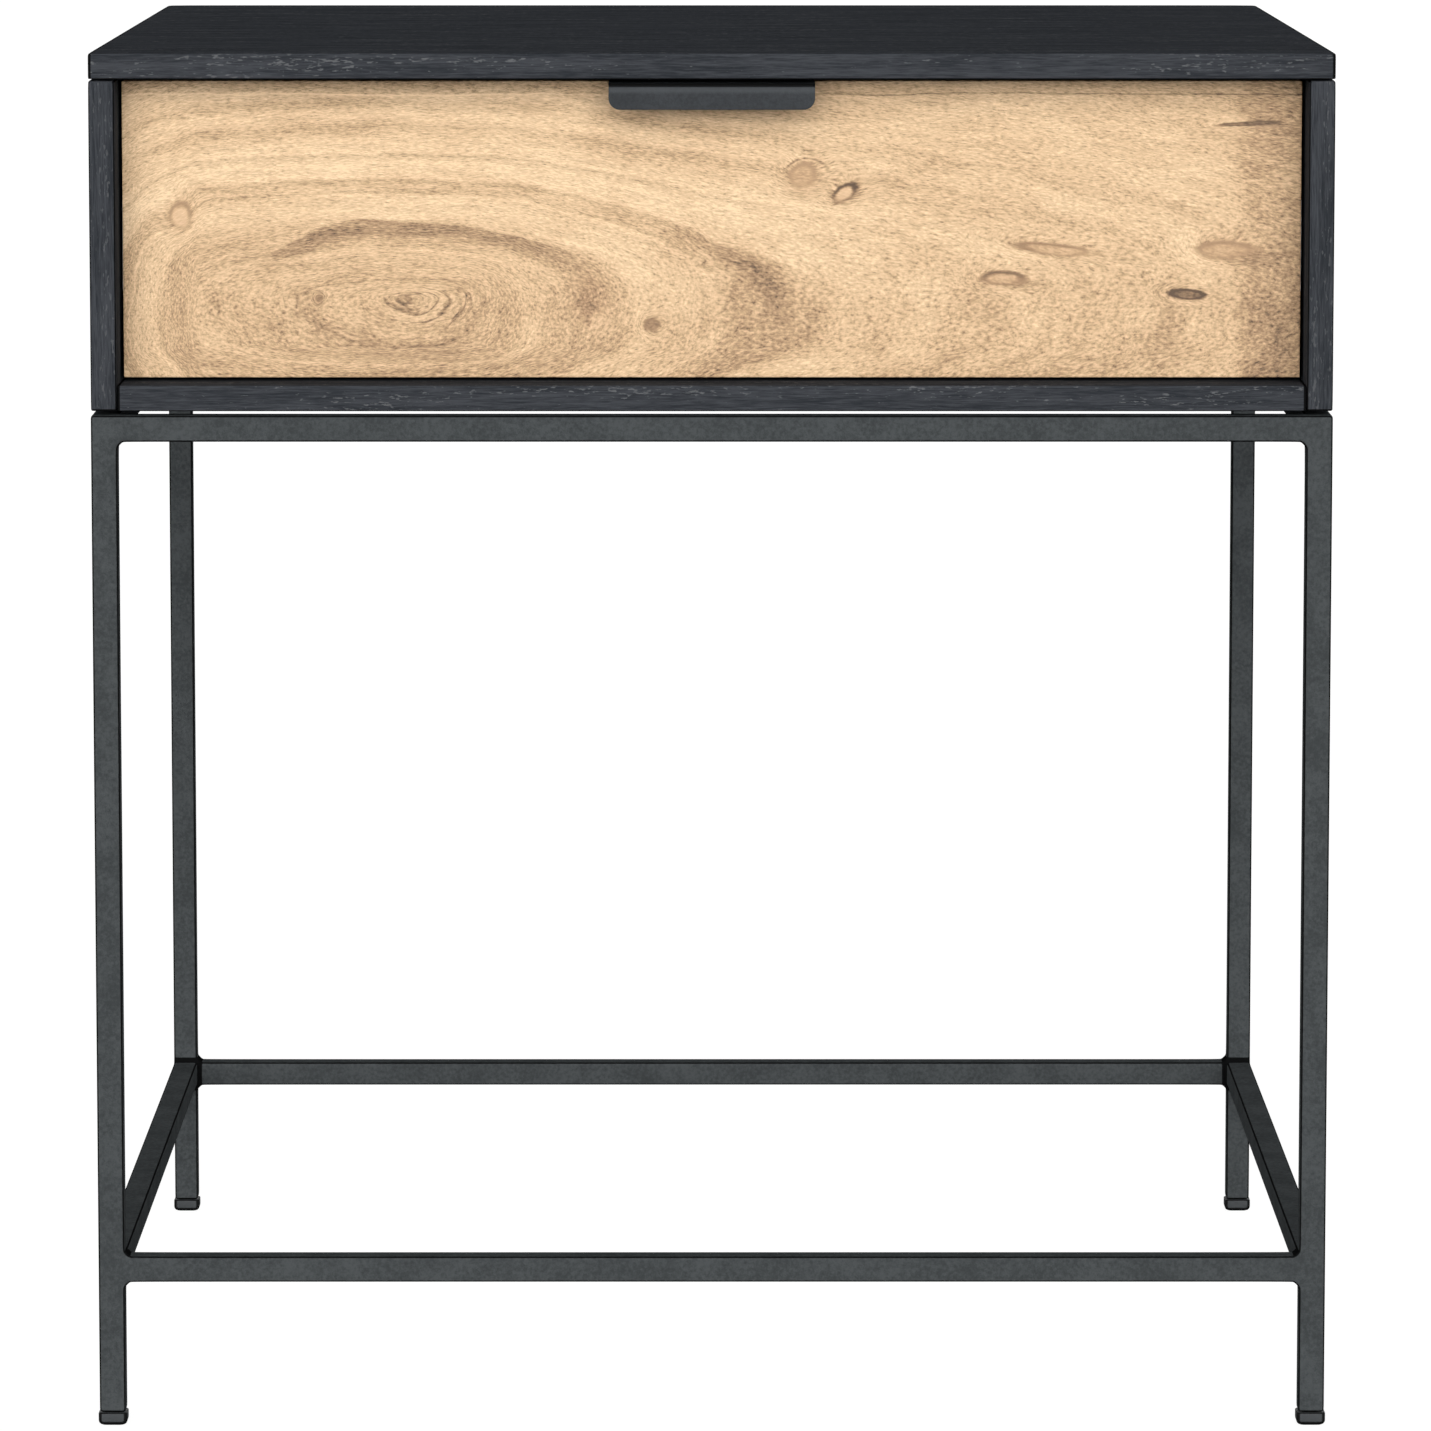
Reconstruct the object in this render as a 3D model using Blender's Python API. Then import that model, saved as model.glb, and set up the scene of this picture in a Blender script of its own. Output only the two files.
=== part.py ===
"""Side table: a wooden case with one drawer, on a welded frame of square steel tube.

Metres, +Z up. The front faces -Y. The origin is on the floor, under the middle of the whole table.
"""
import math

import bmesh
import bpy
from mathutils import Matrix, Vector

MM = 0.001

# Gaps between pieces
SEAT = 0.3 * MM             # between two pieces that rest on, pass through or are screwed to each other
RUN = 0.3 * MM              # between two pieces that roll on each other

# Case
CASE_WIDTH = 610 * MM
CASE_DEPTH = 610 * MM
PANEL = 13 * MM
BACK_THICKNESS = 9 * MM
OPENING_HEIGHT = 149.6 * MM
PANEL_EASE = 0.8 * MM       # rounding of the boards' edges

# Frame of square tube
TUBE = 13 * MM
TUBE_WALL = 1.5 * MM
TUBE_EASE = 1.2 * MM
FRAME_TOP = 504.9 * MM
FRAME_SETBACK = 13 * MM     # the frame stops this far in front of the case's back
BOTTOM_RAIL_LIFT = 72.6 * MM
CASE_LIFT = 1.9 * MM        # open line between the frame and the case

# Foot caps
FOOT_HEIGHT = 6.6 * MM
FOOT_PROUD = 0.65 * MM      # how far a cap stands out past the tube
FOOT_ROUND = 2.2 * MM
FOOT_PLUG = 12 * MM

# Spacers and frame screws
SCREW_FROM_END = 48 * MM    # along the side rail, from the leg's middle
SPACER_RADIUS = 5.6 * MM
FRAME_SCREW_RADIUS = 2.4 * MM
FRAME_SCREW_BITE = 20 * MM  # depth of thread in the side panel
FRAME_HEAD_RADIUS = 4.5 * MM
FRAME_HEAD_HEIGHT = 2.6 * MM

# Drawer
FRONT_RECESS = 26.5 * MM    # from the case's front edge to the drawer front
FRONT_REVEAL = 1.7 * MM     # gap all round the drawer front
FRONT_THICKNESS = 18 * MM
FRONT_EASE = 0.8 * MM
BOX_THICKNESS = 12 * MM
BOX_EASE = 0.8 * MM
BOX_BOTTOM_ROOM = 13 * MM   # from the case's floor up to the drawer box
BOX_TOP_ROOM = 31.6 * MM    # from the drawer box up to the case's top
BOX_REAR_ROOM = 56.5 * MM   # behind the drawer box
DRAWER_BOTTOM = 6 * MM
DRAWER_BOTTOM_LIFT = 10 * MM
GROOVE = 5 * MM             # how far the drawer's bottom reaches into its grooves

# Pull: a bent strip let into the front's top edge
PULL_WIDTH = 101 * MM
PULL_GAUGE = 2 * MM
PULL_BEND = 2.6 * MM        # outer radius of the bend
PULL_LIP = 13 * MM          # height of the lip that hangs down in front
PULL_BEHIND_CASE = 2 * MM   # from the case's front edge to the lip's face
PULL_CORNER = 5.7 * MM
PULL_SCREW_SPREAD = 64 * MM
PULL_SCREW_RADIUS = 1.75 * MM
PULL_SCREW_LENGTH = 16 * MM
PULL_HEAD_RADIUS = 3.5 * MM

# Telescopic ball slides
SIDE_CLEARANCE = 12.7 * MM  # from the case's side to the drawer's side
SLIDE_HEIGHT = 45 * MM
SLIDE_GAUGE = 1.2 * MM
CAGE_GAUGE = 0.6 * MM
BALL = 4 * MM
BALLS_IN_ROW = 5
LIP_SHORT = 1.5 * MM        # how far flanges stop short of the piece they point at
SLIDE_SCREW_RADIUS = 1.9 * MM
SLIDE_HEAD_RADIUS = 3.6 * MM
SLIDE_HEAD_HEIGHT = 1.5 * MM
SLIDE_SCREW_INSET = 25 * MM
SLIDE_SCREW_BITE = 9.5 * MM
HEAD_PASSING = 0.5 * MM     # from a screw head to the member that passes over it
CAGE_END_ROOM = 30 * MM     # keeps the moving outer cage off the cabinet screws

# Values worked out from those above
HALF_WIDTH = CASE_WIDTH / 2
HALF_OPENING = HALF_WIDTH - PANEL
FRONT_Y = (FOOT_PROUD - CASE_DEPTH) / 2
BACK_Y = FRONT_Y + CASE_DEPTH
CASE_BASE = FRAME_TOP + CASE_LIFT
OPENING_BASE = CASE_BASE + PANEL
OPENING_TOP = OPENING_BASE + OPENING_HEIGHT
TABLE_TOP = OPENING_TOP + PANEL

LEG_X = HALF_WIDTH - TUBE / 2
LEG_FRONT_Y = FRONT_Y + TUBE / 2
LEG_REAR_Y = BACK_Y - FRAME_SETBACK - TUBE / 2
TOP_RAIL_Z = FRAME_TOP - TUBE / 2
BOTTOM_RAIL_Z = BOTTOM_RAIL_LIFT + TUBE / 2
BORE = TUBE - 2 * TUBE_WALL

FACE_Y = FRONT_Y + FRONT_RECESS
BOX_Y = FACE_Y + FRONT_THICKNESS + SEAT
BOX_END_Y = BACK_Y - BACK_THICKNESS - BOX_REAR_ROOM
BOX_HALF = HALF_OPENING - SIDE_CLEARANCE
BOX_BASE = OPENING_BASE + BOX_BOTTOM_ROOM
BOX_TOP = OPENING_TOP - BOX_TOP_ROOM
FRONT_TOP = OPENING_TOP - FRONT_REVEAL

SLIDE_LENGTH = BOX_END_Y - BOX_Y
SLIDE_MID_Y = (BOX_Y + BOX_END_Y) / 2
SLIDE_Z = (BOX_BASE + BOX_TOP) / 2


def make_material(name, color, roughness, metallic):
    """A Principled material with one colour."""
    material = bpy.data.materials.new(name)
    material.use_nodes = True
    shader = material.node_tree.nodes["Principled BSDF"]
    shader.inputs["Base Color"].default_value = (*color, 1)
    shader.inputs["Roughness"].default_value = roughness
    shader.inputs["Metallic"].default_value = metallic
    return material


def make_carrier(name, place):
    """An empty that carries the pieces that move together."""
    carrier = bpy.data.objects.new(name, None)
    carrier.location = place
    bpy.context.collection.objects.link(carrier)
    return carrier


def make_piece(name, mesh_data, place, finish, carrier=None, smooth=False):
    """Turn a bmesh, drawn around place, into a named object with a material of its own."""
    bmesh.ops.recalc_face_normals(mesh_data, faces=mesh_data.faces[:])
    mesh = bpy.data.meshes.new(name)
    mesh_data.to_mesh(mesh)
    mesh_data.free()
    if smooth:
        mesh.shade_smooth()
        mesh.set_sharp_from_angle(angle=math.radians(40))
    piece = bpy.data.objects.new(name, mesh)
    piece.location = Vector(place)
    if carrier:
        piece.parent = carrier
        piece.location -= carrier.location
    bpy.context.collection.objects.link(piece)
    if finish:
        mesh.materials.append(make_material(name, *finish))
    return piece


def as_cutter(piece):
    """Mark a piece as a tool that is not part of the table."""
    piece.hide_render = True
    piece.display_type = "WIRE"
    return piece


def combine(piece, tool, operation):
    """Add a Boolean with an exact solver."""
    step = piece.modifiers.new(tool.name, "BOOLEAN")
    step.operation = operation
    step.solver = "EXACT"
    step.object = tool


def cut(piece, tool):
    combine(piece, tool, "DIFFERENCE")


def centre_of(low, high):
    return (Vector(low) + Vector(high)) / 2


def box_mesh(low, high, ease=0.0, keep_flat=None):
    """A box around its own centre. Its edges are rounded by ease, except those that keep_flat picks."""
    mesh_data = bmesh.new()
    size = Vector(high) - Vector(low)
    bmesh.ops.create_cube(mesh_data, size=1)
    bmesh.ops.scale(mesh_data, vec=size, verts=mesh_data.verts[:])
    if ease:
        edges = [edge for edge in mesh_data.edges if not (keep_flat and keep_flat(edge))]
        bmesh.ops.bevel(mesh_data, geom=edges, offset=ease, segments=2, profile=0.5, affect="EDGES")
    return mesh_data


def make_board(name, low, high, ease, finish, carrier=None):
    """A board with eased edges between two corners given in the table's frame."""
    return make_piece(name, box_mesh(low, high, ease), centre_of(low, high), finish, carrier)


def make_box_cutter(name, low, high, carrier=None):
    return as_cutter(make_piece(name, box_mesh(low, high), centre_of(low, high), None, carrier))


def extrude_outline(outline, length):
    """Extrude a closed outline of (x, z) points along Y, centred on Y = 0."""
    mesh_data = bmesh.new()
    corners = [mesh_data.verts.new((x, -length / 2, z)) for x, z in outline]
    face = mesh_data.faces.new(corners)
    grown = bmesh.ops.extrude_face_region(mesh_data, geom=[face])
    moved = [item for item in grown["geom"] if isinstance(item, bmesh.types.BMVert)]
    bmesh.ops.translate(mesh_data, vec=(0, length, 0), verts=moved)
    return mesh_data


def lathe(profile, steps=16):
    """Turn a profile of (radius, z) points about Z. It starts and ends on the axis."""
    mesh_data = bmesh.new()
    points = [mesh_data.verts.new((radius, 0, z)) for radius, z in profile]
    lines = [mesh_data.edges.new(pair) for pair in zip(points, points[1:])]
    bmesh.ops.spin(
        mesh_data, geom=points + lines, axis=(0, 0, 1), cent=(0, 0, 0), angle=math.tau, steps=steps,
        use_merge=True)
    bmesh.ops.remove_doubles(mesh_data, verts=mesh_data.verts[:], dist=0.001 * MM)
    return mesh_data


def turned(mesh_data, direction):
    """Point a lathed shape's +Z along another direction."""
    turn = Vector((0, 0, 1)).rotation_difference(Vector(direction)).to_matrix()
    bmesh.ops.rotate(mesh_data, cent=(0, 0, 0), matrix=turn, verts=mesh_data.verts[:])
    return mesh_data


def pan_screw_profile(radius, length, head_radius, head_height, grow=0.0):
    """A screw with its head's seat at z = 0 and its tip at z = length; grow makes its clearance hole."""
    tip = radius * 0.9
    return [
        (0, -head_height - grow),
        (head_radius * 0.7 + grow, -head_height - grow),
        (head_radius + grow, -head_height * 0.45 - grow),
        (head_radius + grow, grow),
        (radius + grow, grow),
        (radius + grow, length - tip),
        (0.4 * radius + grow, length + grow),
        (0, length + grow),
    ]


def make_pan_screw(name, seat, direction, sizes, finish, carrier=None):
    """A pan-head screw whose head sits one SEAT off the surface at seat and points along direction."""
    place = Vector(seat) - SEAT * Vector(direction)
    mesh_data = turned(lathe(pan_screw_profile(*sizes)), direction)
    return make_piece(name, mesh_data, place, finish, carrier, smooth=True)


def make_shank_cutter(name, seat, direction, radius, length, carrier=None):
    """A plain round hole, from a little above the seat to a little past the screw's tip."""
    above = 1 * MM
    grown = radius + SEAT
    mesh_data = turned(lathe([(0, -above), (grown, -above), (grown, length), (0, length)]), direction)
    return as_cutter(make_piece(name, mesh_data, seat, None, carrier))


def make_tube(name, along, length, place, finish):
    """A square tube open at both ends, centred on place, running along 'X' or 'Y'."""
    mesh_data = bmesh.new()
    bmesh.ops.create_grid(mesh_data, x_segments=1, y_segments=1, size=TUBE / 2)
    bmesh.ops.bevel(
        mesh_data, geom=mesh_data.verts[:], offset=TUBE_EASE, segments=2, profile=0.5, affect="VERTICES")
    inner = mesh_data.faces[:]
    ring = bmesh.ops.inset_region(
        mesh_data, faces=inner, thickness=TUBE_WALL, use_even_offset=True, use_boundary=True)["faces"]
    bmesh.ops.delete(mesh_data, geom=inner, context="FACES")
    bmesh.ops.translate(mesh_data, vec=(0, 0, -length / 2), verts=mesh_data.verts[:])
    grown = bmesh.ops.extrude_face_region(mesh_data, geom=ring)
    moved = [item for item in grown["geom"] if isinstance(item, bmesh.types.BMVert)]
    bmesh.ops.translate(mesh_data, vec=(0, 0, length), verts=moved)
    turn = Matrix.Rotation(math.pi / 2, 3, "Y" if along == "X" else "X")
    bmesh.ops.rotate(mesh_data, cent=(0, 0, 0), matrix=turn, verts=mesh_data.verts[:])
    return make_piece(name, mesh_data, place, finish)


# Finishes: colour, roughness, metallic
BLACK_WASHED_WOOD = ((0.050, 0.052, 0.056), 0.62, 0.0)
ACACIA = ((0.60, 0.40, 0.23), 0.50, 0.0)
BOX_WOOD = ((0.62, 0.45, 0.28), 0.55, 0.0)
GUNMETAL = ((0.085, 0.092, 0.096), 0.48, 0.6)
PULL_STEEL = ((0.050, 0.054, 0.058), 0.45, 0.5)
ZINC = ((0.55, 0.56, 0.58), 0.32, 1.0)
CAGE_BRASS = ((0.60, 0.47, 0.22), 0.35, 1.0)
BLACK_SCREW = ((0.03, 0.03, 0.032), 0.40, 0.8)
BLACK_NYLON = ((0.02, 0.02, 0.021), 0.60, 0.0)

SIDES = (("left", -1), ("right", 1))
ENDS = (("front", LEG_FRONT_Y, 1), ("rear", LEG_REAR_Y, -1))


def build_leg(name, x, y):
    """A leg tube: closed and rounded at the top, bored from below for its foot cap."""
    low = (x - TUBE / 2, y - TUBE / 2, FOOT_HEIGHT + SEAT)
    high = (x + TUBE / 2, y + TUBE / 2, FRAME_TOP)

    def is_bottom(edge):
        return all(vert.co.z < 0 for vert in edge.verts)

    leg = make_piece(name, box_mesh(low, high, TUBE_EASE, is_bottom), centre_of(low, high), GUNMETAL)
    bore_low = (x - BORE / 2, y - BORE / 2, 0)
    bore_high = (x + BORE / 2, y + BORE / 2, FRAME_TOP - TUBE_WALL)
    cut(leg, make_box_cutter(name + "_bore", bore_low, bore_high))


def square_ring(half, z, corner):
    """Eight points round a square with its corners cut off, at height z."""
    inner = half - corner
    points = ((half, -inner), (half, inner), (inner, half), (-inner, half),
              (-half, inner), (-half, -inner), (-inner, -half), (inner, -half))
    return [(px, py, z) for px, py in points]


def build_foot_cap(name, x, y):
    """A push-in cap: rounded below, a flat rim under the tube's end, and a plug up its bore."""
    outer = TUBE / 2 + FOOT_PROUD
    plug = BORE / 2 - SEAT
    corner = 1.2 * MM
    rings = []
    for turn in (0, 30, 60, 90):
        angle = math.radians(turn)
        half = outer - FOOT_ROUND * (1 - math.sin(angle))
        rings.append(square_ring(half, FOOT_ROUND * (1 - math.cos(angle)), corner))
    rings.append(square_ring(outer, FOOT_HEIGHT - 0.5 * MM, corner))
    rings.append(square_ring(outer - 0.5 * MM, FOOT_HEIGHT, corner))
    rings.append(square_ring(plug, FOOT_HEIGHT, corner / 2))
    rings.append(square_ring(plug, FOOT_HEIGHT + FOOT_PLUG, corner / 2))
    mesh_data = bmesh.new()
    loops = [[mesh_data.verts.new(point) for point in ring] for ring in rings]
    for lower, upper in zip(loops, loops[1:]):
        for index, corner_vert in enumerate(lower):
            after = (index + 1) % len(lower)
            mesh_data.faces.new((corner_vert, lower[after], upper[after], upper[index]))
    mesh_data.faces.new(loops[0])
    mesh_data.faces.new(loops[-1])
    make_piece(name, mesh_data, (x, y, 0), BLACK_NYLON)


def build_frame():
    """Legs, foot caps and the two rings of rails."""
    for side, sign in SIDES:
        for end, y, _ in ENDS:
            build_leg(f"leg_{end}_{side}", sign * LEG_X, y)
            build_foot_cap(f"foot_cap_{end}_{side}", sign * LEG_X, y)
    cross_length = 2 * LEG_X - TUBE - 2 * SEAT
    side_length = LEG_REAR_Y - LEG_FRONT_Y - TUBE - 2 * SEAT
    side_middle = (LEG_FRONT_Y + LEG_REAR_Y) / 2
    side_rails = {}
    for level, z in (("top", TOP_RAIL_Z), ("bottom", BOTTOM_RAIL_Z)):
        for end, y, _ in ENDS:
            make_tube(f"{level}_rail_{end}", "X", cross_length, (0, y, z), GUNMETAL)
        for side, sign in SIDES:
            place = (sign * LEG_X, side_middle, z)
            side_rails[level, side] = make_tube(f"{level}_rail_{side}", "Y", side_length, place, GUNMETAL)
    return side_rails


def build_case():
    """Five boards: the top lies over the sides, the bottom and back stand between them."""
    inner = HALF_OPENING - SEAT
    boards = {
        "top_panel": ((-HALF_WIDTH, FRONT_Y, OPENING_TOP), (HALF_WIDTH, BACK_Y, TABLE_TOP)),
        "bottom_panel": ((-inner, FRONT_Y, CASE_BASE), (inner, BACK_Y, OPENING_BASE)),
        "back_panel": ((-inner, BACK_Y - BACK_THICKNESS, OPENING_BASE + SEAT), (inner, BACK_Y, OPENING_TOP - SEAT)),
    }
    for side, sign in SIDES:
        near, far = sorted((sign * HALF_OPENING, sign * HALF_WIDTH))
        boards[side + "_side_panel"] = ((near, FRONT_Y, CASE_BASE), (far, BACK_Y, OPENING_TOP - SEAT))
    return {name: make_board(name, *ends, PANEL_EASE, BLACK_WASHED_WOOD) for name, ends in boards.items()}


def build_frame_fixings(side_rails, case):
    """Spacers on the side rails, and screws up through rail and spacer into the side panels."""
    shared = min(TUBE, PANEL) / 2
    shank_length = TUBE + CASE_LIFT + FRAME_SCREW_BITE
    sizes = (FRAME_SCREW_RADIUS, shank_length, FRAME_HEAD_RADIUS, FRAME_HEAD_HEIGHT)
    hole = FRAME_SCREW_RADIUS + SEAT
    for side, sign in SIDES:
        for end, leg_y, inward in ENDS:
            x = sign * (HALF_WIDTH - shared)
            y = leg_y + inward * SCREW_FROM_END
            seat = (x, y, FRAME_TOP - TUBE)
            make_pan_screw(f"frame_screw_{end}_{side}", seat, (0, 0, 1), sizes, BLACK_SCREW)
            tool = make_shank_cutter(
                f"frame_screw_hole_{end}_{side}", seat, (0, 0, 1), FRAME_SCREW_RADIUS, shank_length + SEAT)
            cut(side_rails["top", side], tool)
            cut(case[side + "_side_panel"], tool)
            half = CASE_LIFT / 2 - SEAT
            washer = [(hole, -half), (SPACER_RADIUS, -half), (SPACER_RADIUS, half), (hole, half), (hole, -half)]
            place = (x, y, FRAME_TOP + CASE_LIFT / 2)
            make_piece(f"spacer_{end}_{side}", lathe(washer), place, BLACK_NYLON, smooth=True)


def grown_box(low, high, room):
    """The two corners of a box with room added all round."""
    extra = Vector((room, room, room))
    return Vector(low) - extra, Vector(high) + extra


def build_drawer(carrier):
    """The solid front, the box behind it, and the bottom that slides into the box's grooves."""
    reveal_half = HALF_OPENING - FRONT_REVEAL
    front = make_board(
        "drawer_front", (-reveal_half, FACE_Y, OPENING_BASE + FRONT_REVEAL),
        (reveal_half, FACE_Y + FRONT_THICKNESS, FRONT_TOP), FRONT_EASE, ACACIA, carrier)
    walls = {"drawer_front": front}
    for side, sign in SIDES:
        near, far = sorted((sign * (BOX_HALF - BOX_THICKNESS), sign * BOX_HALF))
        name = f"drawer_{side}_side"
        walls[name] = make_board(
            name, (near, BOX_Y, BOX_BASE), (far, BOX_END_Y, BOX_TOP), BOX_EASE, BOX_WOOD, carrier)
    inner = BOX_HALF - BOX_THICKNESS
    walls["drawer_back"] = make_board(
        "drawer_back", (SEAT - inner, BOX_END_Y - BOX_THICKNESS, BOX_BASE), (inner - SEAT, BOX_END_Y, BOX_TOP),
        BOX_EASE, BOX_WOOD, carrier)
    reach = GROOVE - SEAT
    floor_z = BOX_BASE + DRAWER_BOTTOM_LIFT
    low = (-inner - reach, BOX_Y - SEAT - reach, floor_z)
    high = (inner + reach, BOX_END_Y - BOX_THICKNESS + reach, floor_z + DRAWER_BOTTOM)
    make_board("drawer_bottom", low, high, BOX_EASE / 2, BOX_WOOD, carrier)
    groove = make_box_cutter("drawer_bottom_groove", *grown_box(low, high, SEAT), carrier)
    for wall in walls.values():
        cut(wall, groove)
    return walls


def build_pull(front, carrier):
    """A strip let into the front's top edge, reaching forward and bent down into a finger lip."""
    lip_y = FRONT_Y + PULL_BEHIND_CASE
    tail_y = FACE_Y + FRONT_THICKNESS - PULL_GAUGE
    lip_z = FRONT_TOP - PULL_LIP
    middle_y = (FACE_Y + tail_y) / 2
    outline = [(tail_y, FRONT_TOP), (tail_y, FRONT_TOP - PULL_GAUGE)]
    bend_y = lip_y + PULL_BEND
    bend_z = FRONT_TOP - PULL_BEND
    turns = [math.radians(90 * step / 4) for step in range(5)]
    inner_bend = PULL_BEND - PULL_GAUGE
    outline += [(bend_y - inner_bend * math.sin(a), bend_z + inner_bend * math.cos(a)) for a in turns]
    outline += [(lip_y + PULL_GAUGE, lip_z), (lip_y, lip_z)]
    outline += [(bend_y - PULL_BEND * math.cos(a), bend_z + PULL_BEND * math.sin(a)) for a in turns]
    place = Vector((0, middle_y, FRONT_TOP))
    mesh_data = extrude_outline([(y - place.y, z - place.z) for y, z in outline], PULL_WIDTH)
    turn = Matrix.Rotation(math.pi / 2, 3, "Z")
    bmesh.ops.rotate(mesh_data, cent=(0, 0, 0), matrix=turn, verts=mesh_data.verts[:])
    lowest = min(vert.co.z for vert in mesh_data.verts)
    ends = [edge for edge in mesh_data.edges
            if all(vert.co.z < lowest + 0.01 * MM for vert in edge.verts)
            and abs(edge.verts[0].co.x - edge.verts[1].co.x) < 0.01 * MM]
    bmesh.ops.bevel(mesh_data, geom=ends, offset=PULL_CORNER, segments=4, profile=0.5, affect="EDGES")
    pull = make_piece("drawer_pull", mesh_data, place, PULL_STEEL, carrier, smooth=True)

    half = PULL_WIDTH / 2 + SEAT
    rebate = make_box_cutter(
        "pull_rebate", (-half, FACE_Y - PULL_GAUGE, FRONT_TOP - PULL_GAUGE - SEAT),
        (half, tail_y + SEAT, FRONT_TOP + PULL_GAUGE), carrier)
    cut(front, rebate)
    for side, sign in SIDES:
        seat = Vector((sign * PULL_SCREW_SPREAD / 2, middle_y, FRONT_TOP))
        build_pull_screw(f"pull_screw_{side}", seat, pull, front, carrier)


def countersunk_profile(grow, lead):
    """A countersunk screw from its head's top at z = 0 down to its tip; lead extends it upwards."""
    cone = PULL_HEAD_RADIUS - PULL_SCREW_RADIUS
    tip = PULL_SCREW_RADIUS
    return [
        (0, lead),
        (PULL_HEAD_RADIUS + grow, lead),
        (PULL_HEAD_RADIUS + grow, -grow * 0.4),
        (PULL_SCREW_RADIUS + grow, -cone - grow * 0.4),
        (PULL_SCREW_RADIUS + grow, tip - PULL_SCREW_LENGTH),
        (0.3 * PULL_SCREW_RADIUS + grow, -PULL_SCREW_LENGTH - grow),
        (0, -PULL_SCREW_LENGTH - grow),
    ]


def build_pull_screw(name, seat, pull, front, carrier):
    """A flush countersunk screw down through the pull into the drawer front."""
    profile = countersunk_profile(0, -0.05 * MM)
    make_piece(name, lathe(profile), seat, BLACK_SCREW, carrier, smooth=True)
    tool = as_cutter(make_piece(name + "_hole", lathe(countersunk_profile(SEAT, 1 * MM)), seat, None, carrier))
    cut(pull, tool)
    cut(front, tool)


def channel_outline(side_sign, web, tip, half_height, gauge):
    """A C section: web at one distance from the case's side, flanges reaching to another."""
    inward = gauge if tip > web else -gauge
    points = [(web, half_height), (tip, half_height), (tip, half_height - gauge),
              (web + inward, half_height - gauge)]
    points += [(offset, -z) for offset, z in reversed(points)]
    return [(-side_sign * offset, z) for offset, z in points]


def build_cage(name, side_sign, web, ball_offset, ball_z, carrier):
    """A ball cage: a thin channel with a row of captive balls in each flange."""
    length = SLIDE_LENGTH / 2 - 2 * CAGE_END_ROOM
    place = Vector((side_sign * HALF_OPENING, SLIDE_MID_Y, SLIDE_Z))
    tip = ball_offset + BALL / 2 + CAGE_GAUGE
    outline = channel_outline(side_sign, web, tip, ball_z + CAGE_GAUGE / 2, CAGE_GAUGE)
    cage = make_piece(name, extrude_outline(outline, length), place, CAGE_BRASS, carrier)
    balls = bmesh.new()
    pitch = length / BALLS_IN_ROW
    for row in (-1, 1):
        for index in range(BALLS_IN_ROW):
            y = (index + 0.5) * pitch - length / 2
            spot = Matrix.Translation((-side_sign * ball_offset, y, row * ball_z))
            bmesh.ops.create_uvsphere(balls, u_segments=8, v_segments=6, radius=BALL / 2, matrix=spot)
    combine(cage, as_cutter(make_piece(name + "_balls", balls, place, None, carrier)), "UNION")


def build_slide(side, sign, case_side, drawer_side, carriers):
    """One telescopic slide: three channels, two ball cages and the four screws that hold it."""
    place = Vector((sign * HALF_OPENING, SLIDE_MID_Y, SLIDE_Z))
    outer_web = SEAT
    outer_face = outer_web + SLIDE_GAUGE
    middle_web = outer_face + SEAT + SLIDE_HEAD_HEIGHT + HEAD_PASSING
    outer_cage_web = (outer_face + middle_web - CAGE_GAUGE) / 2
    inner_cage_web = middle_web + SLIDE_GAUGE + RUN
    drawer_tip = inner_cage_web + CAGE_GAUGE + RUN
    drawer_web = SIDE_CLEARANCE - SEAT
    drawer_face = drawer_web - SLIDE_GAUGE
    outer_tip = SIDE_CLEARANCE - LIP_SHORT
    outer_half = SLIDE_HEIGHT / 2
    step = SLIDE_GAUGE + 2 * RUN + BALL
    middle_half = outer_half - step
    drawer_half = middle_half - step

    members = (
        ("cabinet", outer_web, outer_tip, outer_half, None),
        ("middle", middle_web, outer_tip, middle_half, carriers["middle", side]),
        ("drawer", drawer_web, drawer_tip, drawer_half, carriers["drawer"]),
    )
    made = {}
    for member, web, tip, half, carrier in members:
        outline = channel_outline(sign, web, tip, half, SLIDE_GAUGE)
        name = f"{side}_slide_{member}_member"
        made[member] = make_piece(name, extrude_outline(outline, SLIDE_LENGTH), place, ZINC, carrier)

    outer_ball = (middle_web + SLIDE_GAUGE + outer_tip) / 2 - CAGE_GAUGE
    inner_ball = (drawer_tip + drawer_face) / 2
    outer_z = outer_half - SLIDE_GAUGE - RUN - BALL / 2
    inner_z = middle_half - SLIDE_GAUGE - RUN - BALL / 2
    build_cage(f"{side}_slide_outer_cage", sign, outer_cage_web, outer_ball, outer_z, carriers["outer_cage", side])
    build_cage(f"{side}_slide_inner_cage", sign, inner_cage_web, inner_ball, inner_z, carriers["inner_cage", side])

    case_length = SLIDE_GAUGE + SEAT + SLIDE_SCREW_BITE
    fixings = (
        ("cabinet", "case", outer_face, sign, case_side, None),
        ("drawer", "drawer", drawer_face, -sign, drawer_side, carriers["drawer"]),
    )
    reach = SLIDE_LENGTH / 2 - SLIDE_SCREW_INSET
    sizes = (SLIDE_SCREW_RADIUS, case_length, SLIDE_HEAD_RADIUS, SLIDE_HEAD_HEIGHT)
    for member, label, face, heading, board, carrier in fixings:
        for end, along in (("front", -reach), ("rear", reach)):
            seat = (sign * (HALF_OPENING - face), SLIDE_MID_Y + along, SLIDE_Z)
            name = f"{side}_slide_{label}_screw_{end}"
            make_pan_screw(name, seat, (heading, 0, 0), sizes, ZINC, carrier)
            tool = make_shank_cutter(
                name + "_hole", seat, (heading, 0, 0), SLIDE_SCREW_RADIUS, case_length + SEAT, carrier)
            cut(made[member], tool)
            cut(board, tool)


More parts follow.
